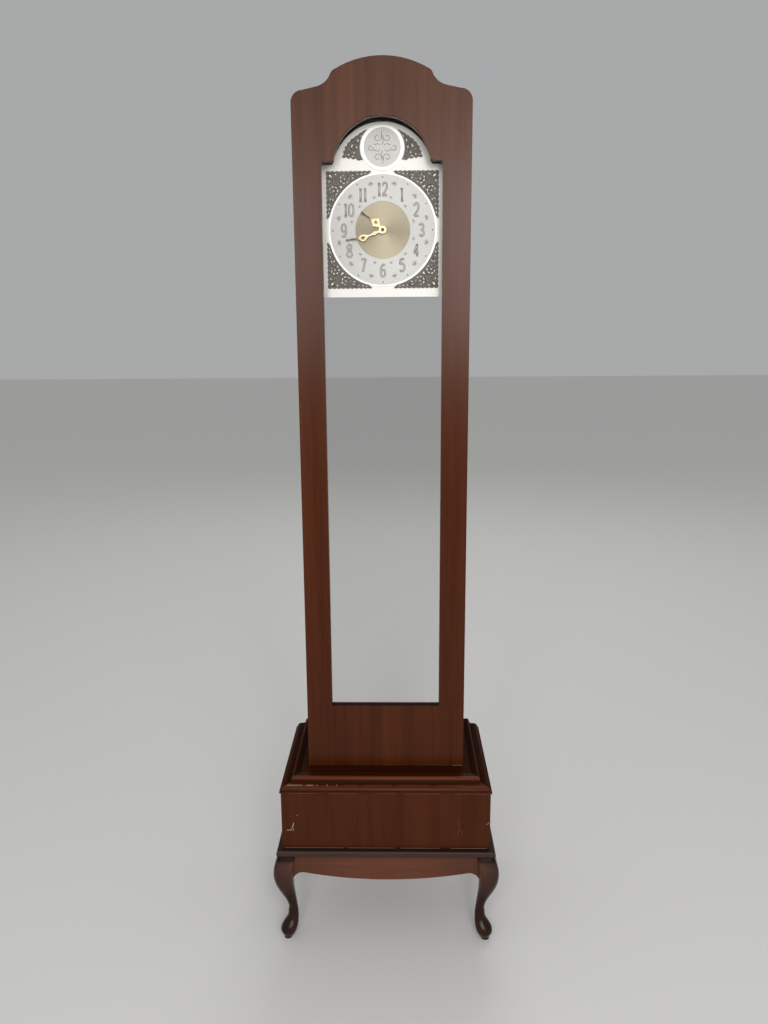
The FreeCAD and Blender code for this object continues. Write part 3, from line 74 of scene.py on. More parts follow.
class Grain(Enum):
    """The way that a board's grain runs, as the scale of its figure on each axis."""

    UPRIGHT = (42.0, 42.0, 1.3)
    ACROSS = (1.3, 42.0, 42.0)
    DEEP = (42.0, 1.3, 42.0)


class Stain(Enum):
    """The dark, middle and pale tones of a wood."""

    VENEER = ((0.06, 0.0126, 0.0026), (0.074, 0.0164, 0.0037), (0.088, 0.0207, 0.0052))
    PLINTH = ((0.053, 0.011, 0.0022), (0.066, 0.0145, 0.0032), (0.078, 0.0182, 0.0045))
    DOOR = ((0.056, 0.0117, 0.0024), (0.074, 0.0164, 0.0037), (0.094, 0.0225, 0.0058))
    APRON = ((0.1, 0.029, 0.0135), (0.128, 0.04, 0.019), (0.15, 0.05, 0.025))
    LEG = ((0.068, 0.0185, 0.0084), (0.084, 0.0235, 0.0108), (0.1, 0.0285, 0.0135))
    STRIP = ((0.04, 0.019, 0.014), (0.054, 0.0275, 0.021), (0.068, 0.036, 0.028))
    PLAIN = ((0.1, 0.045, 0.024), (0.15, 0.07, 0.038), (0.2, 0.1, 0.055))
    BLACK = ((0.012, 0.01, 0.009), (0.018, 0.015, 0.013), (0.026, 0.022, 0.019))


class Brush(Enum):
    """How a metal's two tones lie: round a point, mottled, or one towards a tip."""

    ROUND = "round"
    MOTTLED = "mottled"
    TIPPED = "tipped"


class Digit(Enum):
    """The strokes of a tall narrow numeral, in a box of width and height one about the origin."""

    ZERO = [[(0, 0.5), (-0.4, 0.36), (-0.5, 0), (-0.4, -0.36), (0, -0.5), (0.4, -0.36), (0.5, 0), (0.4, 0.36),
             (0, 0.5)]]
    ONE = [[(-0.3, 0.36), (0, 0.5)], [(0, 0.5), (0, -0.5)], [(-0.32, -0.5), (0.32, -0.5)]]
    TWO = [[(-0.48, 0.26), (-0.32, 0.45), (0.02, 0.5), (0.4, 0.4), (0.48, 0.2), (0.26, -0.08), (-0.2, -0.32),
            (-0.5, -0.5)], [(-0.5, -0.5), (0.5, -0.5)]]
    THREE = [[(-0.48, 0.34), (-0.2, 0.5), (0.28, 0.45), (0.44, 0.25), (0.2, 0.06), (-0.12, 0.02)],
             [(-0.12, 0.02), (0.34, -0.05), (0.5, -0.26), (0.28, -0.46), (-0.12, -0.5), (-0.48, -0.35)]]
    FOUR = [[(0.2, -0.5), (0.2, 0.5)], [(0.2, 0.5), (-0.5, -0.2)], [(-0.5, -0.2), (0.5, -0.2)]]
    FIVE = [[(0.45, 0.5), (-0.35, 0.5)], [(-0.35, 0.5), (-0.45, 0.06)],
            [(-0.45, 0.06), (0, 0.14), (0.42, 0), (0.5, -0.25), (0.24, -0.47), (-0.15, -0.5), (-0.5, -0.38)]]
    SIX = [[(0.42, 0.4), (0.1, 0.5), (-0.32, 0.34), (-0.5, -0.05), (-0.42, -0.36), (0, -0.5), (0.42, -0.38),
            (0.5, -0.16), (0.3, 0.04), (-0.05, 0.07), (-0.44, -0.1)]]
    SEVEN = [[(-0.5, 0.5), (0.5, 0.5)], [(0.5, 0.5), (0.2, 0.16), (-0.06, -0.2), (-0.15, -0.5)]]
    EIGHT = [[(0, 0.03), (-0.4, 0.2), (-0.38, 0.4), (0, 0.5), (0.38, 0.4), (0.4, 0.2), (0, 0.03),
              (-0.48, -0.2), (-0.45, -0.42), (0, -0.5), (0.45, -0.42), (0.48, -0.2), (0, 0.03)]]
    NINE = [[(-x, -y) for x, y in SIX[0]]]

    @classmethod
    def strokes(cls, figure: str) -> list[Outline]:
        """The strokes of a figure, 0 to 9."""
        return list(cls)[int(figure)].value


def even(*stops: Pair) -> Run:
    """Make a run of heights, in millimetres, whose shade keeps the stain's hue."""
    return tuple((height, (amount, amount, amount)) for height, amount in stops)


# Heights in millimetres and the tint of the stain and its gloss there, mostly painted light and shade; a
# narrow step has a run of its own
# Painted light: the door grows paler, browner and glossier towards its top, and is a little darker at its
# foot
DOOR_PAINTED_LIGHT: Run = (
    *even((386, 0.9), (1000, 1.0)),
    (1450, (1.1, 1.3, 1.6)),
    (1700, (1.15, 1.55, 2.2)),
    (1832, (1.1, 1.5, 2.2)),
)
# Painted shade: a dark, dull line on the window's bottom ledge
WINDOW_LEDGE_PAINTED_SHADE = even((529.8, 1.0), (529.9, 0.2), (530.1, 0.2), (530.2, 1.0))
# Darker and greyer down the calf to the foot, lighter at the knee, and painted shade in a dark band at the
# top under the strip
LEG_TONES_AND_PAINTED_SHADE: Run = (
    (0, (0.36, 0.46, 0.55)),
    (25, (0.46, 0.56, 0.66)),
    (60, (0.36, 0.42, 0.5)),
    (110, (0.3, 0.3, 0.32)),
    *even((165, 0.85), (197, 1.1), (202, 0.4), (209, 0.2)),
)
# Painted shade: the strip is darker at its foot and much darker on its top ledge
STRIP_PAINTED_SHADE = even((209, 0.7), (213, 1.0), (222, 1.0), (225.2, 0.35))
# Painted shade: the plinth's top board is darkened and dulled all over
PLINTH_TOP_PAINTED_SHADE = even((383, 0.45), (384.5, 0.45))
# Painted light and shade on the front moulding, low to high: the lip, an ovolo lighter towards its top, a
# dark cove, a bright glossy bead and a dark flat top
MOULDING_PAINTED_LIGHT_AND_SHADE = (
    (358, 1.0), (362, 0.75), (366, 1.1), (370.5, 1.5), (371.6, 0.7), (373, 0.4), (376.5, 0.45), (378, 1.3),
    (383.9, 1.6), (384, 0.45),
)
# Painted shade: the side mouldings take the front's light and shade at this share
SIDE_PAINTED_SHADE = 0.45

# One side of each hand from its boss to its tip, in millimetres
MINUTE_SIDE: Outline = [
    (0, -7.2), (5.1, -5.1), (7.2, 0), (5.1, 5.1), (2.2, 8), (1.6, 12.5), (3.4, 17), (1.6, 21.5), (1.4, 30),
    (3.6, 35), (6.2, 41), (5, 46.5), (1.6, 51), (1.3, 55), (1.8, 58), (1.2, 61), (0.9, 68), (0, 76),
]
HOUR_SIDE: Outline = [
    (0, -7.2), (5.1, -5.1), (7.2, 0), (5.1, 5.1), (2.4, 8), (2.4, 10.5), (5.2, 13.5), (6.6, 16.5),
    (9.2, 18.5), (8.2, 21.5), (6, 22), (5, 25.5), (2, 29), (3, 32), (1.5, 35), (1.2, 43), (0, 55),
]

# Pierced drops: middle across and up, length, width, and the way that the point lies in degrees
MINUTE_DROP = (0, 41, 9.5, 6.4, 270)
HOUR_DROP = (0, 19, 8, 6.4, 270)
CORNER_EYES = ((9.5, 9.5, 7.5, 3.4, 45), (29.5, 29.5, 6.5, 3, 225))
CORNER_DROPS = (
    (19, 6.5, 4.5, 2, 170), (52, 8.5, 5, 2.2, 150), (54, 13.5, 4.5, 2, 20), (62, 6.4, 5, 2, 20),
    (70.5, 6, 4.5, 1.8, 160), (78.5, 4.6, 4, 1.6, 10),
)
ARCH_DROPS = (
    (55, -10, 6.5, 2.6, 100), (65, -12, 6, 2.6, 160), (50.5, 2, 6.5, 2.4, 80), (59, 3.5, 6.5, 2.6, 110),
    (47.5, 13, 6, 2.2, 100), (72, -13.5, 5, 2.2, 160), (41, 21, 4.5, 1.6, 115), (64, -3, 4.5, 2.2, 40),
    (57.5, -15.5, 5.5, 2, 175),
)

# Scrolls: centre across and up, first and last radius, first angle and sweep in degrees
CORNER_SCROLLS = (
    (10, 10, 6.5, 3.8, 45, 300), (37, 15, 11.5, 4.6, 110, 420), (15, 37, 11.5, 4.6, -20, -420),
    (57, 9.5, 6.2, 1.8, 190, 360), (9.5, 57, 6.2, 1.8, 260, -360),
)
ARCH_SCROLLS = ((60, -6.5, 9, 3, 120, 400), (52.5, 8, 6, 2, 300, -360), (71.5, -12, 4.6, 1.6, 60, 340))
BOSS_SCROLLS = ((9.5, 18.5, 8, 2, 150, 380), (9.5, -18.5, 8, 2, 210, -380), (23, 0, 6.5, 1.8, 180, 360))

# The outer edge of the right arch spandrel, and the boss's lines, about the boss's centre
ARCH_EDGE: Outline = [
    (35.5, 31), (40, 27.5), (44, 26.5), (48, 22), (52, 21.5), (55.5, 17), (60, 16), (63.5, 10.5), (67.5, 9),
    (69, 3.5), (73.5, 1.5), (73, -4), (77, -7), (75.5, -11.5), (79.5, -17), (75, -19), (71, -17),
    (66.5, -20.5), (62, -18), (57.5, -21.5), (52.5, -19.5), (47, -24), (42.5, -22.5),
]
BOSS_STEMS: list[Outline] = [
    [(0, -30), (1.5, -22), (-1.5, -13), (0, -5)],
    [(0, 30), (-1.5, 22), (1.5, 13), (0, 5)],
]
BOSS_TWIGS: list[Outline] = [
    [(4, 4), (9, 7), (14, 5), (17, 6.5)],
    [(4, -4), (9, -7), (14, -5), (17, -6.5)],
]

# Scratches on the plinth, and the worn stretches of level edges, in millimetres
SCRATCHES: list[Outline] = [
    [(-200.8, 286.5), (-201.4, 282.5)],
    [(-201.4, 282.5), (-203.8, 275), (-209, 268.8), (-216, 268.8)],
    [(-203.8, 267.5), (-200.6, 272)],
    [(-193, 303.2), (-192, 305.2)],
    [(219.5, 284), (221, 286)],
    [(222.2, 287.2), (224, 289)],
]
FAINT_SCRATCHES: list[Outline] = [
    [(158.7, 294), (160.2, 282), (160, 270), (156, 257.5)],
    [(160, 270), (164.5, 265.5)],
    [(166.8, 270.5), (165.4, 254.5)],
]
WORN_LIP = ((-212, -150), (-120, -60), (-24, 22), (40, 118), (150, 226))
WORN_BASE = ((-221, -92), (-84, 20), (32, 118), (142, 221))
BARE_FILLET = ((-214, -181), (-173, -156), (-150, -147.5), (-128, -125), (-107, -104.5))
THIN_FILLET = ((-88, -60), (-46, 14), (28, 96), (112, 170))
DOOR_FOOT = ((149, 169.5),)


class Shader:
    """A material with one principled shader and the nodes that feed it."""

    noise_roughness = 0.6
    noise_distortion = 0.25

    def __init__(self, name: str) -> None:
        """Make the material.

        Args:
            name: the material's name.
        """
        self.material = bpy.data.materials.new(name)
        self.material.use_nodes = True
        self.tree = self.material.node_tree
        self.surface = self.tree.nodes["Principled BSDF"]

    def feed(self, node: Node, *ordered: object, **named: object) -> None:
        """Set or link a node's inputs.

        Args:
            node: the node.
            ordered: plain values, or sockets to link, for its first inputs.
            named: the same by an input's name, with underscores for spaces.
        """
        pairs = list(zip(node.inputs, ordered))
        pairs += [(node.inputs[key.replace("_", " ")], value) for key, value in named.items()]
        for target, value in pairs:
            if isinstance(value, Socket):
                self.tree.links.new(value, target)
            else:
                target.default_value = value

    def set(self, **values: object) -> None:
        """Set or link the principled shader's inputs."""
        self.feed(self.surface, **values)

    def add(self, kind: str, **values: object) -> Node:
        """Add a node.

        Args:
            kind: the shader node's type.
            values: plain values, or sockets to link, by input.

        Returns:
            The new node.
        """
        node = self.tree.nodes.new(f"ShaderNode{kind}")
        self.feed(node, **values)
        return node

    def calc(self, kind: str, operation: str, *values: object, result: str = "Value") -> Socket:
        """Add a node that works out one operation.

        Args:
            kind: Math or VectorMath.
            operation: what it works out.
            values: plain values or sockets.
            result: the output's name.

        Returns:
            The result.
        """
        node = self.add(kind)
        node.operation = operation
        self.feed(node, *values)
        return node.outputs[result]

    def place(self) -> Socket:
        """The shaded point's place in the object's own space."""
        return self.add("TexCoord").outputs["Object"]

    def axis(self, name: str) -> Socket:
        """The shaded point's place along X, Y or Z."""
        return self.add("SeparateXYZ", Vector=self.place()).outputs[name]

    def noise(self, scale: Place, detail: float, shift: float = 0.0) -> Socket:
        """Add a noise that is stretched in the object's own space.

        Args:
            scale: how often the noise repeats on each axis, per metre.
            detail: the noise's octaves.
            shift: an offset that sets one noise apart from another.

        Returns:
            The noise's amount.
        """
        mapping = self.add("Mapping", Vector=self.place(), Scale=scale, Location=(shift, shift, shift))
        noise = self.add("TexNoise", Vector=mapping.outputs["Vector"], Scale=1.0, Detail=detail,
                         Roughness=self.noise_roughness, Distortion=self.noise_distortion)
        return noise.outputs["Fac"]

    def ramp(self, source: Socket, stops: list[tuple[float, Colour]]) -> Socket:
        """Turn a value into a colour.

        Args:
            source: the value.
            stops: positions and their colours.

        Returns:
            The colour.
        """
        ramp = self.add("ValToRGB", Fac=source)
        elements = ramp.color_ramp.elements
        while len(elements) < len(stops):
            elements.new(0.5)
        for element, (position, colour) in zip(elements, stops):
            element.position = position
            element.color = (*colour, 1.0)
        return ramp.outputs["Color"]

    def dimmed(self, colour: Socket, amount: Socket) -> Socket:
        """Scale a colour's brightness."""
        return self.calc("VectorMath", "MULTIPLY", colour, amount, result="Vector")


@dataclass(frozen=True)
class WoodFinish:
    """A stained and lacquered veneer."""

    name: str
    stain: Stain
    grain: Grain
    roughness: float = 0.27
    specular: float = 0.15
    # end_shade: painted shade towards a board's left and right ends; runs: tints of the stain and its gloss
    # by height, mostly painted light and shade
    end_shade: float = 1.0
    half_length: float = 0.2
    end_start: float = 0.25
    runs: tuple[Run, ...] = ()
    tone_stops: tuple[float, float, float] = (0.36, 0.5, 0.66)
    band_detail: float = 5.0
    fibre_scale: float = 7.0
    fibre_detail: float = 3.0
    fibre_shift: float = 4.7
    fibre_share: float = 0.3
    fibre_height: float = 0.0002
    fibre_strength: float = 0.12

    def material(self) -> Material:
        """Build the veneer.

        Returns:
            The material.
        """
        shader = Shader(self.name)
        bands = shader.noise(self.grain.value, self.band_detail)
        fine = tuple(self.fibre_scale * part for part in self.grain.value)
        fibres = shader.noise(fine, self.fibre_detail, self.fibre_shift)
        base = shader.calc("Math", "MULTIPLY", bands, 1.0 - self.fibre_share)
        figure = shader.calc("Math", "MULTIPLY_ADD", fibres, self.fibre_share, base)
        colour = shader.ramp(figure, list(zip(self.tone_stops, self.stain.value)))
        shader.set(Base_Color=self.shaded(shader, colour), Roughness=self.roughness)
        bump = shader.add("Bump", Strength=self.fibre_strength, Distance=self.fibre_height, Height=fibres)
        shader.set(Normal=bump.outputs["Normal"])
        return shader.material

    def shaded(self, shader: Shader, colour: Socket) -> Socket:
        """Paint shade onto the stain towards a board's left and right ends, and tint the stain and its gloss
        by height, run by run; the runs are mostly painted light and shade.

        Args:
            shader: the board's shader.
            colour: the board's colour.

        Returns:
            The shaded colour.
        """
        if self.end_shade < 1.0:
            away = shader.calc("Math", "ABSOLUTE", shader.axis("X"))
            share = shader.add("MapRange", Value=away, From_Min=self.end_start * self.half_length,
                               From_Max=self.half_length, To_Min=1.0, To_Max=self.end_shade)
            share.interpolation_type = "SMOOTHSTEP"
            colour = shader.dimmed(colour, share.outputs["Result"])
        height = shader.axis("Z")
        gloss: float | Socket = self.specular
        for run in self.runs:
            low, high = run[0][0], run[-1][0]
            share = shader.add("MapRange", Value=height, From_Min=low * MM, From_Max=high * MM)
            stops = [((level - low) / (high - low), tone) for level, tone in run]
            tint = shader.ramp(share.outputs["Result"], stops)
            colour = shader.dimmed(colour, tint)
            red = shader.add("SeparateColor", Color=tint).outputs["Red"]
            gloss = shader.calc("Math", "MULTIPLY", red, gloss)
        shader.set(Specular_IOR_Level=gloss)
        return colour


@dataclass(frozen=True)
class BrushedFinish:
    """A metal of two tones, brushed or antiqued."""

    name: str
    brush: Brush
    tones: tuple[Colour, Colour]
    stops: Pair
    roughness: float
    metallic: float
    centre: Place = (0.0, 0.0, 0.0)
    stroke: float = 0.0
    stroke_scale: float = 1600.0
    stroke_detail: float = 2.0
    mottle_scale: Place = (300.0, 300.0, 300.0)
    mottle_detail: float = 4.0

    def material(self) -> Material:
        """Build the metal.

        Returns:
            The material.
        """
        shader = Shader(self.name)
        if self.brush is Brush.ROUND:
            amount = self.round_strokes(shader)
        elif self.brush is Brush.MOTTLED:
            amount = shader.noise(self.mottle_scale, self.mottle_detail)
        else:
            amount = self.distance(shader)
        colour = shader.ramp(amount, list(zip(self.stops, self.tones)))
        shader.set(Base_Color=colour, Metallic=self.metallic, Roughness=self.roughness)
        return shader.material

    def distance(self, shader: Shader) -> Socket:
        """Measure how far a point lies from the brushing's centre, in metres."""
        return shader.calc("VectorMath", "DISTANCE", shader.place(), self.centre)

    def round_strokes(self, shader: Shader) -> Socket:
        """Brush the metal round its centre, and stretch the highlights as brushing does.

        Args:
            shader: the metal's shader.

        Returns:
            The strokes' amount.
        """
        offset = shader.calc("VectorMath", "SUBTRACT", shader.place(), self.centre, result="Vector")
        tangent = shader.calc("VectorMath", "CROSS_PRODUCT", offset, (0.0, 1.0, 0.0), result="Vector")
        shader.set(Anisotropic=self.stroke, Tangent=tangent)
        noise = shader.add("TexNoise", Scale=self.stroke_scale, Detail=self.stroke_detail)
        noise.noise_dimensions = "1D"
        shader.feed(noise, W=self.distance(shader))
        return noise.outputs["Fac"]


@dataclass(frozen=True)
class PlainFinish:
    """A surface of one colour: paint, plastic, plain metal or a clear pane."""

    name: str
    colour: Colour
    roughness: float
    metallic: float = 0.0
    alpha: float = 1.0

    def material(self) -> Material:
        """Build the surface.

        Returns:
            The material.
        """
        shader = Shader(self.name)
        shader.set(Base_Color=(*self.colour, 1.0), Roughness=self.roughness, Metallic=self.metallic,
                   Alpha=self.alpha)
        return shader.material


@dataclass
class Finishes:
    """Every finish on the clock, by its name; the record's slots are among the names."""

    dial_centre: Place
    made: dict[str, Material] = field(init=False)

    def __post_init__(self) -> None:
        """Make the materials."""
        finishes = [*self.woods(), *self.brushed(), *self.plain()]
        self.made = {finish.name: finish.material() for finish in finishes}

    def woods(self) -> list[WoodFinish]:
        """List the woods.

        Returns:
            The finishes.
        """
        # The front moulding's painted light and shade, and a darker share of it on the sides as painted shade
        front = even(*MOULDING_PAINTED_LIGHT_AND_SHADE)
        side = even(*[(height, SIDE_PAINTED_SHADE * amount) for height, amount in MOULDING_PAINTED_LIGHT_AND_SHADE])
        return [
            WoodFinish("mahogany", Stain.VENEER, Grain.UPRIGHT, roughness=0.45, specular=0.1),
            WoodFinish("door_veneer", Stain.DOOR, Grain.UPRIGHT, runs=(DOOR_PAINTED_LIGHT, WINDOW_LEDGE_PAINTED_SHADE)),
            WoodFinish("plinth_veneer", Stain.PLINTH, Grain.UPRIGHT, specular=0.12),
            # Painted shade darkens and dulls the plinth's top
            WoodFinish("mahogany_top", Stain.VENEER, Grain.ACROSS, roughness=0.5, specular=0.04,
                       runs=(PLINTH_TOP_PAINTED_SHADE,)),
            WoodFinish("moulding_across", Stain.VENEER, Grain.ACROSS, roughness=0.4, specular=0.12,
                       runs=(front,)),
            # A darker, duller copy for the side mouldings: painted shade
            WoodFinish("moulding_deep", Stain.VENEER, Grain.DEEP, roughness=0.5, specular=0.04, runs=(side,)),
            # Painted shade darkens each leg towards its outer side, and its run paints a dark band of shade
            # under the strip
            WoodFinish("dark_mahogany", Stain.LEG, Grain.UPRIGHT, roughness=0.22, specular=0.42,
                       end_shade=0.45, half_length=0.246, end_start=0.79, runs=(LEG_TONES_AND_PAINTED_SHADE,)),
            WoodFinish("dark_mahogany_across", Stain.STRIP, Grain.ACROSS, roughness=0.35, specular=0.17,
                       runs=(STRIP_PAINTED_SHADE,)),
            # Painted shade darkens the aprons towards their ends; the side aprons, out at the ends, are
            # darkened most
            WoodFinish("apron_veneer", Stain.APRON, Grain.ACROSS, specular=0.25, end_shade=0.7),
            WoodFinish("apron_veneer_deep", Stain.APRON, Grain.DEEP, end_shade=0.45),
            WoodFinish("plain_wood", Stain.PLAIN, Grain.ACROSS, roughness=0.6),
            WoodFinish("dial_board_wood", Stain.BLACK, Grain.UPRIGHT, roughness=0.7),
        ]

    def brushed(self) -> list[BrushedFinish]:
        """List the brushed and antiqued metals.

        Returns:
            The finishes.
        """
        hands = [
            BrushedFinish(f"{node}_brass", Brush.TIPPED, ((0.66, 0.52, 0.3), (0.07, 0.055, 0.035)), tip,
                          roughness=0.3, metallic=0.7,
                          centre=(self.dial_centre[0], middle(node).y, self.dial_centre[2]))
            for node, tip in (("minute_hand", (0.044, 0.056)), ("hour_hand", (0.026, 0.034)))
        ]
        return hands + [
            BrushedFinish("centre_brass", Brush.ROUND, ((0.255, 0.218, 0.152), (0.3, 0.258, 0.182)),
                          (0.3, 0.7), roughness=0.36, metallic=0.7, centre=self.dial_centre, stroke=0.75),
            BrushedFinish("silvered", Brush.ROUND, ((0.53, 0.52, 0.49), (0.58, 0.57, 0.535)), (0.3, 0.7),
                          roughness=0.4, metallic=0.3, centre=self.dial_centre, stroke=0.5),
            BrushedFinish("antique_bronze", Brush.MOTTLED, ((0.095, 0.078, 0.062), (0.17, 0.148, 0.122)),
                          (0.35, 0.62), roughness=0.5, metallic=0.4),
        ]

    def plain(self) -> list[PlainFinish]:
        """List the plain metals, the plastics, the engraved and worn lines and the glass.

        Returns:
            The finishes.
        """
        return [
            PlainFinish("dial_brass", (0.93, 0.91, 0.85), roughness=0.4, metallic=0.2),
            PlainFinish("bright_rim", (0.95, 0.94, 0.88), roughness=0.3, metallic=0.35),
            PlainFinish("hand_brass", (0.66, 0.52, 0.3), roughness=0.3, metallic=0.7),
            PlainFinish("nut_dark", (0.05, 0.042, 0.032), roughness=0.35, metallic=0.7),
            PlainFinish("hinge_brass", (0.62, 0.46, 0.2), roughness=0.35, metallic=1.0),
            PlainFinish("steel", (0.55, 0.55, 0.55), roughness=0.35, metallic=1.0),
            PlainFinish("copper", (0.6, 0.25, 0.12), roughness=0.35, metallic=1.0),
            PlainFinish("black_plastic", (0.018, 0.018, 0.018), roughness=0.5),
            PlainFinish("gear_plastic", (0.72, 0.71, 0.66), roughness=0.45),
            PlainFinish("circuit_green", (0.04, 0.17, 0.08), roughness=0.45),
            PlainFinish("cell_wrap", (0.1, 0.1, 0.11), roughness=0.3),
            PlainFinish("numeral_dark", (0.11, 0.105, 0.096), roughness=0.5),
            PlainFinish("engraved_grey", (0.16, 0.155, 0.143), roughness=0.5),
            PlainFinish("bare_scratch", (0.86, 0.75, 0.67), roughness=0.6),
            PlainFinish("worn_arris", (0.16, 0.07, 0.042), roughness=0.5),
            PlainFinish("rubbed_edge", (0.36, 0.23, 0.16), roughness=0.5),
            PlainFinish("pane", (0.01, 0.012, 0.011), roughness=0.02, alpha=0.07),
        ]

    def piece(self, name: str, mesh: Mesh, finish: str, body: str, slot: str) -> Object:
        """Put a mesh into the scene as a piece of the clock.

        Args:
            name: the piece's name.
            mesh: its finished mesh.
            finish: its finish.
            body: the CAD body that it moves with.
            slot: the record's material slot; not used.

        Returns:
            The piece.
        """
        mesh.name = name
        mesh.materials.clear()
        mesh.materials.append(self.made[finish])
        piece = added(name, mesh)
        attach(piece, body)
        log.info("%s rides on %s", name, body)
        return piece


def middle(node: str) -> Vector:
    """The middle of a CAD node's box."""
    low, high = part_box(node)
    return (Vector(low) + Vector(high)) / 2


def front_of(node: str) -> float:
    """The depth of a CAD node's foremost point."""
    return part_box(node)[0][1]


def foot_of(node: str) -> float:
    """The height of a CAD node's lowest point, in millimetres."""
    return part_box(node)[0][2] / MM


def added(name: str, data: ID) -> Object:
    """Add an object to the scene.

    Args:
        name: the object's name.
        data: its mesh, curve, light or camera.

    Returns:
        The object.
    """
    thing = bpy.data.objects.new(name, data)
    bpy.context.scene.collection.objects.link(thing)
    return thing


def object_mesh(curve: Curve, place: Matrix) -> Mesh:
    """Turn a curve into a mesh and put it in place.

    Args:
        curve: the curve, which is removed.
        place: where it goes.

    Returns:
        The mesh.
    """
    holder = added("holder", curve)
    bpy.context.view_layer.update()
    evaluated = holder.evaluated_get(bpy.context.evaluated_depsgraph_get())
    mesh = bpy.data.meshes.new_from_object(evaluated)
    bpy.data.objects.remove(holder)
    bpy.data.curves.remove(curve)
    mesh.transform(place)
    return mesh


def joined(meshes: list[Mesh], weld: float = 0.000001) -> Mesh:
    """Join meshes into one.

    Args:
        meshes: the meshes, which are removed.
        weld: points nearer than this become one, in metres.

    Returns:
        The joined mesh.
    """
    work = bmesh.new()
    for mesh in meshes:
        work.from_mesh(mesh)
        bpy.data.meshes.remove(mesh)
    bmesh.ops.remove_doubles(work, verts=work.verts, dist=weld)
    bmesh.ops.recalc_face_normals(work, faces=work.faces)
    result = bpy.data.meshes.new("joined")
    work.to_mesh(result)
    work.free()
    return result


def facing(x: float, y: float, z: float, turn: float = 0.0) -> Matrix:
    """A place for a flat drawing that faces the front, in metres.

    Args:
        x: the place across.
        y: the depth of the drawing's middle.
        z: the height.
        turn: clockwise turn in degrees, as seen from the front.

    Returns:
        The matrix that stands the drawing up.
    """
    upright = Matrix.Rotation(math.radians(90), 4, "X")
    return Matrix.Translation((x, y, z)) @ Matrix.Rotation(math.radians(turn), 4, "Y") @ upright


def draw(curve: Curve, line: Outline, rounded: bool, closed: bool) -> None:
    """Draw a line into a curve.

    Args:
        curve: the curve.
        line: the line's points in millimetres.
        rounded: whether the line is rounded between its points.
        closed: whether it comes back to its start.
    """
    spline = curve.splines.new("BEZIER" if rounded else "POLY")
    points = spline.bezier_points if rounded else spline.points
    points.add(len(line) - 1)
    for point, (x, y) in zip(points, line):
        if rounded:
            point.co = (x * MM, y * MM, 0.0)
            point.handle_left_type = point.handle_right_type = "AUTO"
        else:
            point.co = (x * MM, y * MM, 0.0, 1.0)
    spline.use_cyclic_u = closed


def flat_curve(outlines: list[Outline], thickness: float, rounded: bool = False) -> Curve:
    """Draw a flat filled shape; inner outlines become holes.

    Args:
        outlines: closed outlines in millimetres.
        thickness: the shape's thickness in millimetres.
        rounded: whether the outlines are rounded between their points.

    Returns:
        The curve.
    """
    curve = bpy.data.curves.new("flat", "CURVE")
    curve.dimensions = "2D"
    curve.fill_mode = "BOTH"
    curve.extrude = thickness * MM / 2
    curve.resolution_u = 6
    for outline in outlines:
        draw(curve, outline, rounded, closed=True)
    return curve


def wire_curve(lines: list[Outline], radius: float) -> Curve:
    """Draw rounded lines of wire.

    Args:
        lines: open lines in millimetres.
        radius: the wire's radius in millimetres.

    Returns:
        The curve.
    """
    curve = bpy.data.curves.new("wire", "CURVE")
    curve.dimensions = "3D"
    curve.bevel_depth = radius * MM
    curve.bevel_resolution = 1
    curve.resolution_u = 3
    curve.use_fill_caps = True
    for line in lines:
        draw(curve, line, rounded=True, closed=False)
    return curve


def spiral(x: float, y: float, start: float, end: float, first: float, sweep: float,
           count: int = 14) -> Outline:
    """A scroll that winds inwards, or an arc where both radii are the same.

    Args:
        x: its centre across.
        y: its centre up.
        start: its first radius.
        end: its last radius.
        first: the angle that it starts at, in degrees.
        sweep: how far it turns, in degrees.
        count: its steps.

    Returns:
        The line's points.
    """
    points = []
    for i in range(count + 1):
        share = i / count
        angle = math.radians(first + sweep * share)
        radius = start + (end - start) * share
        points.append((x + radius * math.cos(angle), y + radius * math.sin(angle)))
    return points


def ring_outline(x: float, y: float, radius: float, count: int) -> Outline:
    """A circle's outline about a centre, in a count of points."""
    return spiral(x, y, radius, radius, 0.0, FULL_TURN, count)[:-1]


def drop(x: float, y: float, length: float, width: float, degrees: float) -> Outline:
    """A pierced drop, pointed at one end.

    Args:
        x: its middle across.
        y: its middle up.
        length: its length.
        width: its greatest width.
        degrees: the way that its point lies.

    Returns:
        The outline.
    """
    count, taper = 12, 0.45
    turn = math.radians(degrees)
    points = []
    for i in range(count):
        angle = math.tau * i / count
        along = math.cos(angle) * length / 2
        across = math.sin(angle) * width / 2 * (1.0 - taper * math.cos(angle))
        points.append((x + along * math.cos(turn) - across * math.sin(turn),
                       y + along * math.sin(turn) + across * math.cos(turn)))
    return points


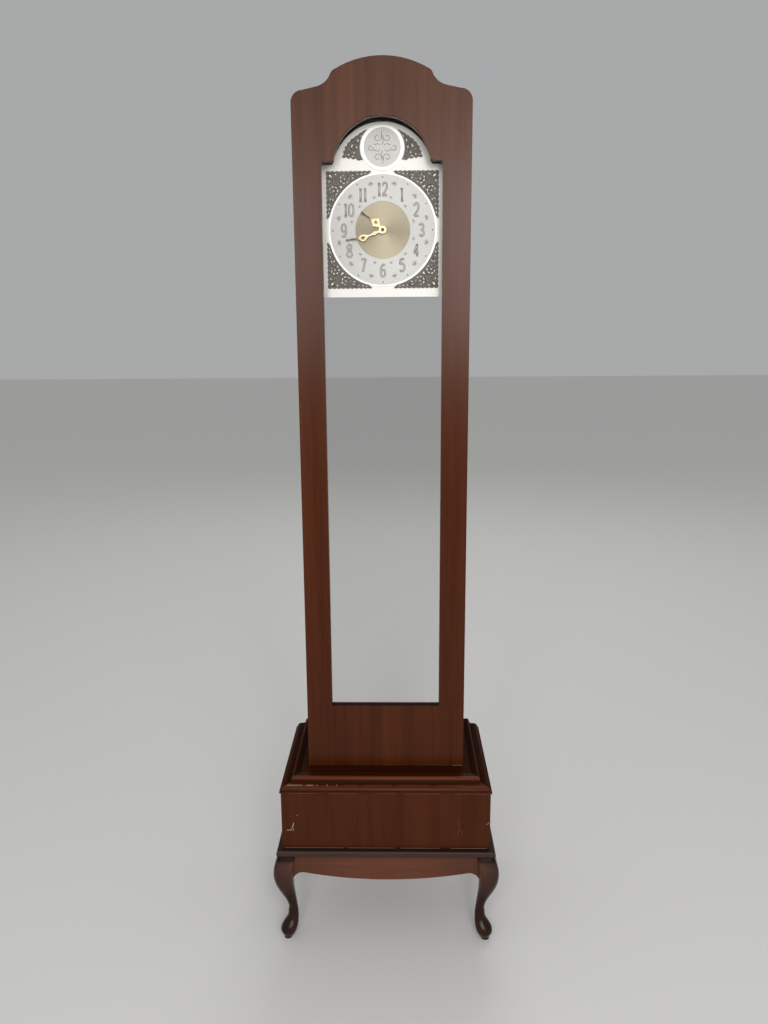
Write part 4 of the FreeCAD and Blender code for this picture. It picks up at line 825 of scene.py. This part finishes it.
@dataclass
class Casework:
    """The wooden boards: the frame's own shapes with a grain, some with eased edges."""

    finishes: Finishes
    door_ease: float = 1.2
    board_ease: float = 0.8
    moulding_ease: float = 0.5
    eased_angle: float = 40.0
    shaded_angle: float = 30.0
    flat_angle: float = 0.4
    weld: float = 0.00001
    square: float = 0.99999

    def shade(self, mesh: Mesh) -> None:
        """Shade a mesh smooth apart from its sharp edges and its square faces.

        Args:
            mesh: the mesh.
        """
        if "custom_normal" in mesh.attributes:
            mesh.attributes.remove(mesh.attributes["custom_normal"])
        mesh.set_sharp_from_angle(angle=math.radians(self.shaded_angle))
        smooth = [max(abs(part) for part in polygon.normal) < self.square for polygon in mesh.polygons]
        mesh.polygons.foreach_set("use_smooth", smooth)

    def eased(self, node: str, finish: str, ease: float) -> None:
        """Make a board.

        Args:
            node: the CAD node that the board stands for.
            finish: the board's finish.
            ease: the width taken off its edges in millimetres, or 0.
        """
        mesh = frame["nodes"][node].data.copy()
        work = bmesh.new()
        work.from_mesh(mesh)
        bmesh.ops.remove_doubles(work, verts=work.verts, dist=self.weld)
        flat = math.radians(self.flat_angle)
        bmesh.ops.dissolve_limit(work, angle_limit=flat, verts=work.verts, edges=work.edges)
        if ease > 0:
            least = math.radians(self.eased_angle)
            sharp = [edge for edge in work.edges
                     if len(edge.link_faces) == 2 and edge.calc_face_angle(0.0) > least]
            bmesh.ops.bevel(work, geom=sharp, offset=ease * MM, offset_type="OFFSET", affect="EDGES",
                            segments=2, profile=0.5, material=-1, clamp_overlap=True)
        bmesh.ops.triangulate(work, faces=work.faces)
        work.to_mesh(mesh)
        work.free()
        self.shade(mesh)
        piece = self.finishes.piece(f"{node}_eased", mesh, finish, BODIES[node], SLOTS[node])
        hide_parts(node)

    def build(self) -> None:
        """Make the boards that show."""
        legs = ("front_left_leg", "front_right_leg", "rear_left_leg", "rear_right_leg")
        for nodes, finish, ease in (
            (("door_panel",), "door_veneer", self.door_ease),
            (("plinth_front", "plinth_left", "plinth_right"), "plinth_veneer", self.board_ease),
            (("trunk_left_side", "trunk_right_side"), "mahogany", self.board_ease),
            (("plinth_top",), "mahogany_top", 0.0),
            (("front_moulding",), "moulding_across", self.moulding_ease),
            (("left_moulding", "right_moulding"), "moulding_deep", self.moulding_ease),
            (("stand_top",), "dark_mahogany_across", 0.0),
            (("front_apron", "rear_apron"), "apron_veneer", 0.0),
            (("left_apron", "right_apron"), "apron_veneer_deep", 0.0),
            (legs, "dark_mahogany", 0.0),
        ):
            for node in nodes:
                self.eased(node, finish, ease)


@dataclass(frozen=True)
class Fleur:
    """A small engraved fan of petals above a bead at twelve o'clock; its lengths grow with its size."""

    radius: float
    size: float
    leans: tuple[float, ...] = (-76.0, -38.0, 0.0, 38.0, 76.0)
    petal_length: float = 4.6
    petal_loss: float = 0.02
    petal_width: float = 0.95
    root: float = 0.9
    root_fall: float = 1.8
    bead: float = 0.55
    bead_fall: float = 3.4
    bead_points: int = 8

    def outlines(self) -> list[Outline]:
        """Draw the bead and the petals, which are shorter the more they lean.

        Returns:
            The outlines.
        """
        size = self.size
        shapes = [ring_outline(0.0, self.radius - self.bead_fall * size, self.bead * size, self.bead_points)]
        for lean in self.leans:
            angle = math.radians(lean)
            length = size * (self.petal_length - abs(lean) * self.petal_loss)
            reach = self.root * size + length / 2
            height = self.radius - self.root_fall * size + reach * math.cos(angle)
            shapes.append(drop(reach * math.sin(angle), height, length, self.petal_width * size, 90.0 - lean))
        return shapes


@dataclass
class DialWork:
    """Numerals, marks and ornaments on the dial; a dot has a radius, a relief and a count of points."""

    finishes: Finishes
    numeral_height: float = 23.5
    numeral_width: float = 8.8
    narrow_one: float = 0.65
    numeral_radius: float = 77.3
    numeral_gap: float = 3.6
    numeral_edge: Pair = (1.85, 0.1)
    numeral_face: Pair = (1.25, 0.22)
    track_radius: float = 99.4
    hour_dot: Round = (1.5, 0.2, 14)
    minute_dot: Round = (0.6, 0.15, 8)
    inner_fleur: Fleur = Fleur(64.0, 1.0)
    outer_fleur: Fleur = Fleur(90.5, 1.5)
    fleur_relief: float = 0.12
    rim_width: float = 2.3
    rim_relief: float = 0.5
    rim_points: int = 128
    spandrel_relief: float = 1.6
    spandrel_band: float = 3.1
    spandrel_reach: float = 90.0
    spandrel_point: float = 6.0
    edge_steps: int = 60
    hollow_steps: int = 24
    scallop: float = 9.0
    notch: float = 1.8
    rosettes: tuple[Pair, ...] = ((37.0, 15.0), (15.0, 37.0))
    rosette_eye: float = 1.4
    eye_points: int = 8
    petals: int = 7
    petal_reach: float = 8.0
    petal_size: Pair = (5.2, 2.3)
    arch_radius: float = 44.0
    arch_start: float = -31.0
    arch_sweep: float = 79.5
    arch_steps: int = 16
    scroll_radius: float = 0.75
    flourish_radius: float = 0.45

    def __post_init__(self) -> None:
        """Find the dial's centres and faces."""
        self.centre = middle("chapter_ring")
        self.boss = middle("boss_disc")
        self.ring_face = front_of("chapter_ring")
        self.boss_face = front_of("boss_disc")
        self.plate_face = front_of("dial_plate")

    def numeral(self, hour: int, radius: float, raised: float) -> Mesh:
        """Make one upright numeral from flattened strokes.

        Args:
            hour: the hour.
            radius: half of a stroke's width, in millimetres.
            raised: how far it stands above the ring, in millimetres.

        Returns:
            The numeral's mesh, in place.
        """
        figures = str(hour)
        widths = [self.numeral_width * (self.narrow_one if figure == "1" else 1.0) for figure in figures]
        left = -(sum(widths) + self.numeral_gap * (len(figures) - 1)) / 2
        lines: list[Outline] = []
        for figure, width in zip(figures, widths):
            centre = left + width / 2
            for stroke in Digit.strokes(figure):
                lines.append([(centre + x * self.numeral_width, y * self.numeral_height) for x, y in stroke])
            left += width + self.numeral_gap
        angle = math.tau * hour / HOURS
        reach = self.numeral_radius * MM
        place = facing(self.centre.x + reach * math.sin(angle), self.ring_face,
                       self.centre.z + reach * math.cos(angle))
        flattened = Matrix.Diagonal((1.0, 1.0, raised / radius, 1.0))
        return object_mesh(wire_curve(lines, radius), place @ flattened)

    def around(self, shapes: list[Outline], raised: float, turns: list[float]) -> Mesh:
        """Repeat a flat shape around the ring.

        Args:
            shapes: outlines in millimetres, drawn at twelve o'clock.
            raised: how far they stand above the ring.
            turns: clockwise turns in degrees.

        Returns:
            One mesh of all the shapes.
        """
        depth = self.ring_face - raised * MM / 2
        places = [facing(self.centre.x, depth, self.centre.z, turn) for turn in turns]
        return joined([object_mesh(flat_curve(shapes, raised), place) for place in places])

    def engrave(self, name: str, mesh: Mesh, finish: str) -> None:
        """Put a mesh on the silvered parts of the dial."""
        self.finishes.piece(name, mesh, finish, "case", "silvered")

    def build_ring(self) -> None:
        """Make the numerals, the minute track, the fleurs and the polished rim."""
        for name, stroke, finish in (("numeral_edges", self.numeral_edge, "numeral_dark"),
                                     ("numeral_faces", self.numeral_face, "silvered")):
            numerals = [self.numeral(hour, *stroke) for hour in range(1, HOURS + 1)]
            self.engrave(name, joined(numerals), finish)
        hours = [FULL_TURN * step / HOURS for step in range(HOURS)]
        halves = [turn + FULL_TURN / HOURS / 2 for turn in hours]
        between = [FULL_TURN * step / MINUTES for step in range(MINUTES) if step % (MINUTES // HOURS)]
        for name, (radius, raised, points), turns, finish in (
            ("hour_dots", self.hour_dot, hours, "numeral_dark"),
            ("minute_dots", self.minute_dot, between, "engraved_grey"),
        ):
            dot = ring_outline(0.0, self.track_radius, radius, points)
            self.engrave(name, self.around([dot], raised, turns), finish)
        for name, fleur in (("inner_fleurs", self.inner_fleur), ("outer_fleurs", self.outer_fleur)):
            self.engrave(name, self.around(fleur.outlines(), self.fleur_relief, halves), "engraved_grey")
        low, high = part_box("chapter_ring")
        half = (high[0] - low[0]) / 2 / MM
        rim = [ring_outline(0.0, 0.0, radius, self.rim_points) for radius in (half, half - self.rim_width)]
        self.engrave("ring_rim", self.around(rim, self.rim_relief, [0.0]), "bright_rim")

    def corner_shapes(self) -> Drawing:
        """Draw a corner spandrel from its outer corner, with x and y running inwards.

        Returns:
            The pierced plate's outlines and the raised scrolls' lines.
        """
        edge_away = (self.centre.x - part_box("corner_spandrels")[0][0]) / MM
        hollow = edge_away - self.spandrel_band
        edge: Outline = []
        for i in range(self.edge_steps + 1):
            along = self.spandrel_reach * i / self.edge_steps
            edge.append((along, self.notch * (1.0 - abs(math.sin(math.pi * along / self.scallop)))))
        edge[0] = (self.notch, self.notch)
        lean = math.degrees(math.asin((edge_away - self.spandrel_reach + self.spandrel_point) / hollow))
        arc = spiral(edge_away, edge_away, hollow, hollow, -90.0 - lean, 2 * lean - 90.0, self.hollow_steps)
        plate = edge + arc + [(y, x) for x, y in reversed(edge[1:])]
        holes = [drop(*eye) for eye in CORNER_EYES]
        for x, y in self.rosettes:
            for petal, place in enumerate(ring_outline(x, y, self.petal_reach, self.petals)):
                holes.append(drop(*place, *self.petal_size, FULL_TURN * petal / self.petals + 90.0))
            holes.append(ring_outline(x, y, self.rosette_eye, self.eye_points))
        for x, y, length, width, degrees in CORNER_DROPS:
            holes.append(drop(x, y, length, width, degrees))
            holes.append(drop(y, x, length, width, 90.0 - degrees))
        return [plate] + holes, [spiral(*scroll) for scroll in CORNER_SCROLLS]

    def arch_shapes(self) -> Drawing:
        """Draw the right arch spandrel about the boss's centre.

        Returns:
            The pierced plate's outlines and the raised scrolls' lines.
        """
        arc = spiral(0.0, 0.0, self.arch_radius, self.arch_radius, self.arch_start, self.arch_sweep,
                     self.arch_steps)
        holes = [drop(*hole) for hole in ARCH_DROPS]
        return [arc + ARCH_EDGE] + holes, [spiral(*scroll) for scroll in ARCH_SCROLLS]

    def ornament(self, shapes: Drawing, x: float, z: float, x_side: int, z_side: int) -> list[Mesh]:
        """Stand a pierced ornament on the dial plate.

        Args:
            shapes: plate outlines and scroll lines.
            x: where the drawing's origin goes, across.
            z: where it goes, up.
            x_side: 1, or -1 to mirror the drawing across.
            z_side: 1, or -1 to mirror it upwards.

        Returns:
            The plate and its scrolls.
        """
        outlines, lines = shapes
        relief = self.spandrel_relief * MM
        flip = Matrix.Diagonal((x_side, z_side, 1.0, 1.0))
        plate = flat_curve(outlines, self.spandrel_relief)
        scrolls = wire_curve(lines, self.scroll_radius)
        return [object_mesh(plate, facing(x, self.plate_face - relief / 2, z) @ flip),
                object_mesh(scrolls, facing(x, self.plate_face - relief, z) @ flip)]

    def build_ornaments(self) -> None:
        """Make the corner and arch spandrels and the boss's flourish."""
        low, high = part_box("corner_spandrels")
        corners: list[Mesh] = []
        for x_side, x in ((1, low[0]), (-1, high[0])):
            for z_side, z in ((1, low[2]), (-1, high[2])):
                corners += self.ornament(self.corner_shapes(), x, z, x_side, z_side)
        arches: list[Mesh] = []
        for x_side in (1, -1):
            arches += self.ornament(self.arch_shapes(), self.boss.x, self.boss.z, x_side, 1)
        bronze = "antique_bronze"
        for kind, meshes in (("corner", corners), ("arch", arches)):
            piece = self.finishes.piece(f"{kind}_spandrel_castings", joined(meshes), bronze, "case", bronze)
            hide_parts(f"{kind}_spandrels")

        branches = [spiral(*scroll) for scroll in BOSS_SCROLLS] + BOSS_TWIGS
        lines = list(BOSS_STEMS)
        for side in (1, -1):
            lines += [[(side * x, y) for x, y in branch] for branch in branches]
        flourish = wire_curve(lines, self.flourish_radius)
        place = facing(self.boss.x, self.boss_face, self.boss.z)
        self.engrave("boss_flourish", object_mesh(flourish, place), "engraved_grey")

    def build(self) -> None:
        """Make everything on the dial's face."""
        self.build_ring()
        self.build_ornaments()


@dataclass
class Hands:
    """The two serpentine hands; a round hole has a distance from the axis, a radius and a count of points."""

    finishes: Finishes
    hour_angle: float = 308.5
    minute_angle: float = 255.5
    hour_sway: Pair = (3.0, 19.0)
    minute_sway: Pair = (-5.0, 41.0)
    hour_bore: Round = (0.0, 2.5, 14)
    minute_bore: Round = (0.0, 1.6, 12)
    minute_eye: Round = (17.0, 1.1, 8)
    thickness: float = 0.8

    def pierced(self, body: str, side: Outline, holes: list[Outline], angle: float, sway: Pair) -> None:
        """Make a hand from one side of its outline.

        Args:
            body: the body that it turns with.
            side: the outline's right side, from the boss to the tip, in millimetres.
            holes: pierced outlines.
            angle: its clockwise turn from twelve, in degrees.
            sway: how far the loop lies aside of the line to the tip, and the loop's distance from the axis.
        """
        node = f"{body}_hand"
        aside, loop = sway
        reach = side[-1][1]
        outline = side + [(-x, y) for x, y in reversed(side[1:-1])]
        swayed = [[(x + aside * max(0.0, min(y / loop, (reach - y) / (reach - loop))), y) for x, y in line]
                  for line in [outline] + holes]
        centre = middle("chapter_ring")
        place = facing(centre.x, middle(node).y, centre.z, angle)
        mesh = joined([object_mesh(flat_curve(swayed, self.thickness, rounded=True), place)])
        piece = self.finishes.piece(f"{node}_serpentine", mesh, f"{node}_brass", body, "hand_brass")
        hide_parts(node)

    def build(self) -> None:
        """Make the hands."""
        holes = [ring_outline(0, *self.minute_bore), drop(*MINUTE_DROP), ring_outline(0, *self.minute_eye)]
        self.pierced("minute", MINUTE_SIDE, holes, self.minute_angle, self.minute_sway)
        holes = [ring_outline(0, *self.hour_bore), drop(*HOUR_DROP)]
        self.pierced("hour", HOUR_SIDE, holes, self.hour_angle, self.hour_sway)


@dataclass
class Wear:
    """Small bare scratches and rubbed edges on the plinth and the door."""

    finishes: Finishes
    scratch: float = 0.38
    faint_scratch: float = 0.32
    rub: float = 0.32
    fine_rub: float = 0.26
    base_lift: float = 0.8
    door_lift: float = 1.2
    lip_height: float = 358.2
    fillet_height: float = 371.4
    fillet_inset: float = 11.2

    def rubbed(self, stretches: tuple[Pair, ...], z: float) -> list[Outline]:
        """Draw the worn stretches of a level edge at a height."""
        return [[(start, z), ((start + end) / 2, z), (end, z)] for start, end in stretches]

    def build(self) -> None:
        """Make the marks as fine lines on the plinth's and the door's front."""
        face = front_of("plinth_front")
        rim = front_of("front_moulding")
        ledge = rim + self.fillet_inset * MM
        door = front_of("door_panel")
        lip = self.rubbed(WORN_LIP, self.lip_height)
        base = self.rubbed(WORN_BASE, foot_of("plinth_front") + self.base_lift)
        bare = self.rubbed(BARE_FILLET, self.fillet_height)
        thin = self.rubbed(THIN_FILLET, self.fillet_height)
        foot = self.rubbed(DOOR_FOOT, foot_of("door_panel") + self.door_lift)
        for name, lines, radius, depth, finish, body in (
            ("plinth_scratches", SCRATCHES, self.scratch, face, "bare_scratch", "case"),
            ("plinth_faint_scratches", FAINT_SCRATCHES, self.faint_scratch, face, "worn_arris", "case"),
            ("worn_lip", lip, self.rub, rim, "worn_arris", "case"),
            ("worn_plinth_base", base, self.fine_rub, face, "rubbed_edge", "case"),
            ("worn_fillet", bare, self.fine_rub, ledge, "bare_scratch", "case"),
            ("worn_fillet_thin", thin, self.rub, ledge, "worn_arris", "case"),
            ("worn_door_foot", foot, self.fine_rub, door, "rubbed_edge", "door"),
        ):
            mesh = object_mesh(wire_curve(lines, radius), facing(0.0, depth, 0.0))
            self.finishes.piece(name, mesh, finish, body, "mahogany")


@dataclass(frozen=True)
class Lamp:
    """A soft box: where it hangs, the point that it faces, its width and height, and its power in watts."""

    name: str
    place: Place
    aim: Place
    size: Pair
    power: float

    def hang(self) -> None:
        """Hang the lamp."""
        data = bpy.data.lights.new(self.name, "AREA")
        data.shape = "RECTANGLE"
        data.size, data.size_y = self.size
        data.energy = self.power
        lamp = added(self.name, data)
        lamp.location = self.place
        lamp.rotation_euler = (Vector(self.aim) - Vector(self.place)).to_track_quat("-Z", "Y").to_euler()


@dataclass
class Studio:
    """The floor, the light and the camera."""

    floor_size: float = 80.0
    floor_paint: PlainFinish = PlainFinish("floor_paint", (0.82, 0.81, 0.79), roughness=0.7)
    sky: float = 0.4
    sky_colour: Colour = (0.98, 0.99, 1.0)
    lamps: tuple[Lamp, ...] = (
        Lamp("key", (0.8, -4.4, 3.2), (0.0, 0.0, 1.0), (3.2, 3.0), 66.0),
        Lamp("right_strip", (0.425, -2.4, 1.75), (0.425, 0.0, 1.75), (0.36, 0.9), 13.0),
        Lamp("left_strip", (-0.52, -2.4, 1.75), (-0.52, 0.0, 1.75), (0.36, 0.9), 9.0),
        Lamp("back", (0.4, 3.6, 4.4), (0.0, 0.0, 0.8), (2.4, 1.6), 40.0),
    )
    eye: Place = (0.03, -1.6745, 1.29)
    pitch: float = 0.2021
    yaw: float = 0.0191
    roll: float = 0.0067
    lens: float = 27.39
    sensor: float = 36.0

    def build_floor(self) -> None:
        """Lay a plain pale floor."""
        work = bmesh.new()
        bmesh.ops.create_grid(work, x_segments=1, y_segments=1, size=self.floor_size / 2)
        mesh = bpy.data.meshes.new("floor")
        work.to_mesh(mesh)
        work.free()
        mesh.materials.append(self.floor_paint.material())
        floor = added("floor", mesh)

    def build_sky(self) -> None:
        """Surround the clock with an even pale light."""
        world = bpy.data.worlds.new("studio")
        bpy.context.scene.world = world
        world.use_nodes = True
        background = world.node_tree.nodes["Background"]
        background.inputs["Color"].default_value = (*self.sky_colour, 1.0)
        background.inputs["Strength"].default_value = self.sky

    def build_camera(self) -> None:
        """Stand the camera at the photograph's viewing angle."""
        data = bpy.data.cameras.new("camera")
        data.lens = self.lens
        data.sensor_width = self.sensor
        camera = added("camera", data)
        turn = (Matrix.Rotation(self.yaw, 4, "Z") @ Matrix.Rotation(math.pi / 2 - self.pitch, 4, "X")
                @ Matrix.Rotation(-self.roll, 4, "Z"))
        camera.matrix_world = Matrix.Translation(self.eye) @ turn
        bpy.context.scene.camera = camera

    def build(self) -> None:
        """Set up the studio."""
        bpy.context.scene.view_settings.view_transform = "Standard"
        self.build_floor()
        self.build_sky()
        for lamp in self.lamps:
            lamp.hang()
        self.build_camera()


def dress_nodes(finishes: Finishes) -> None:
    """Give every CAD node its finish.

    Args:
        finishes: the clock's finishes.
    """
    own = {"hand_nut": "nut_dark", "centre_arbor": "nut_dark"}
    for node, finish in (SLOTS | own).items():
        for slot in frame["nodes"][node].material_slots:
            slot.material = finishes.made[finish]
        log.info("%s is dressed as %s", node, finish)


def main() -> None:
    """Build the clock's looks in order."""
    logging.basicConfig(level=logging.INFO, format="%(name)s: %(message)s")
    finishes = Finishes(tuple(middle("chapter_ring")))
    dress_nodes(finishes)
    Casework(finishes).build()
    DialWork(finishes).build()
    Hands(finishes).build()
    Wear(finishes).build()
    Studio().build()


if __name__ == "__main__":
    main()
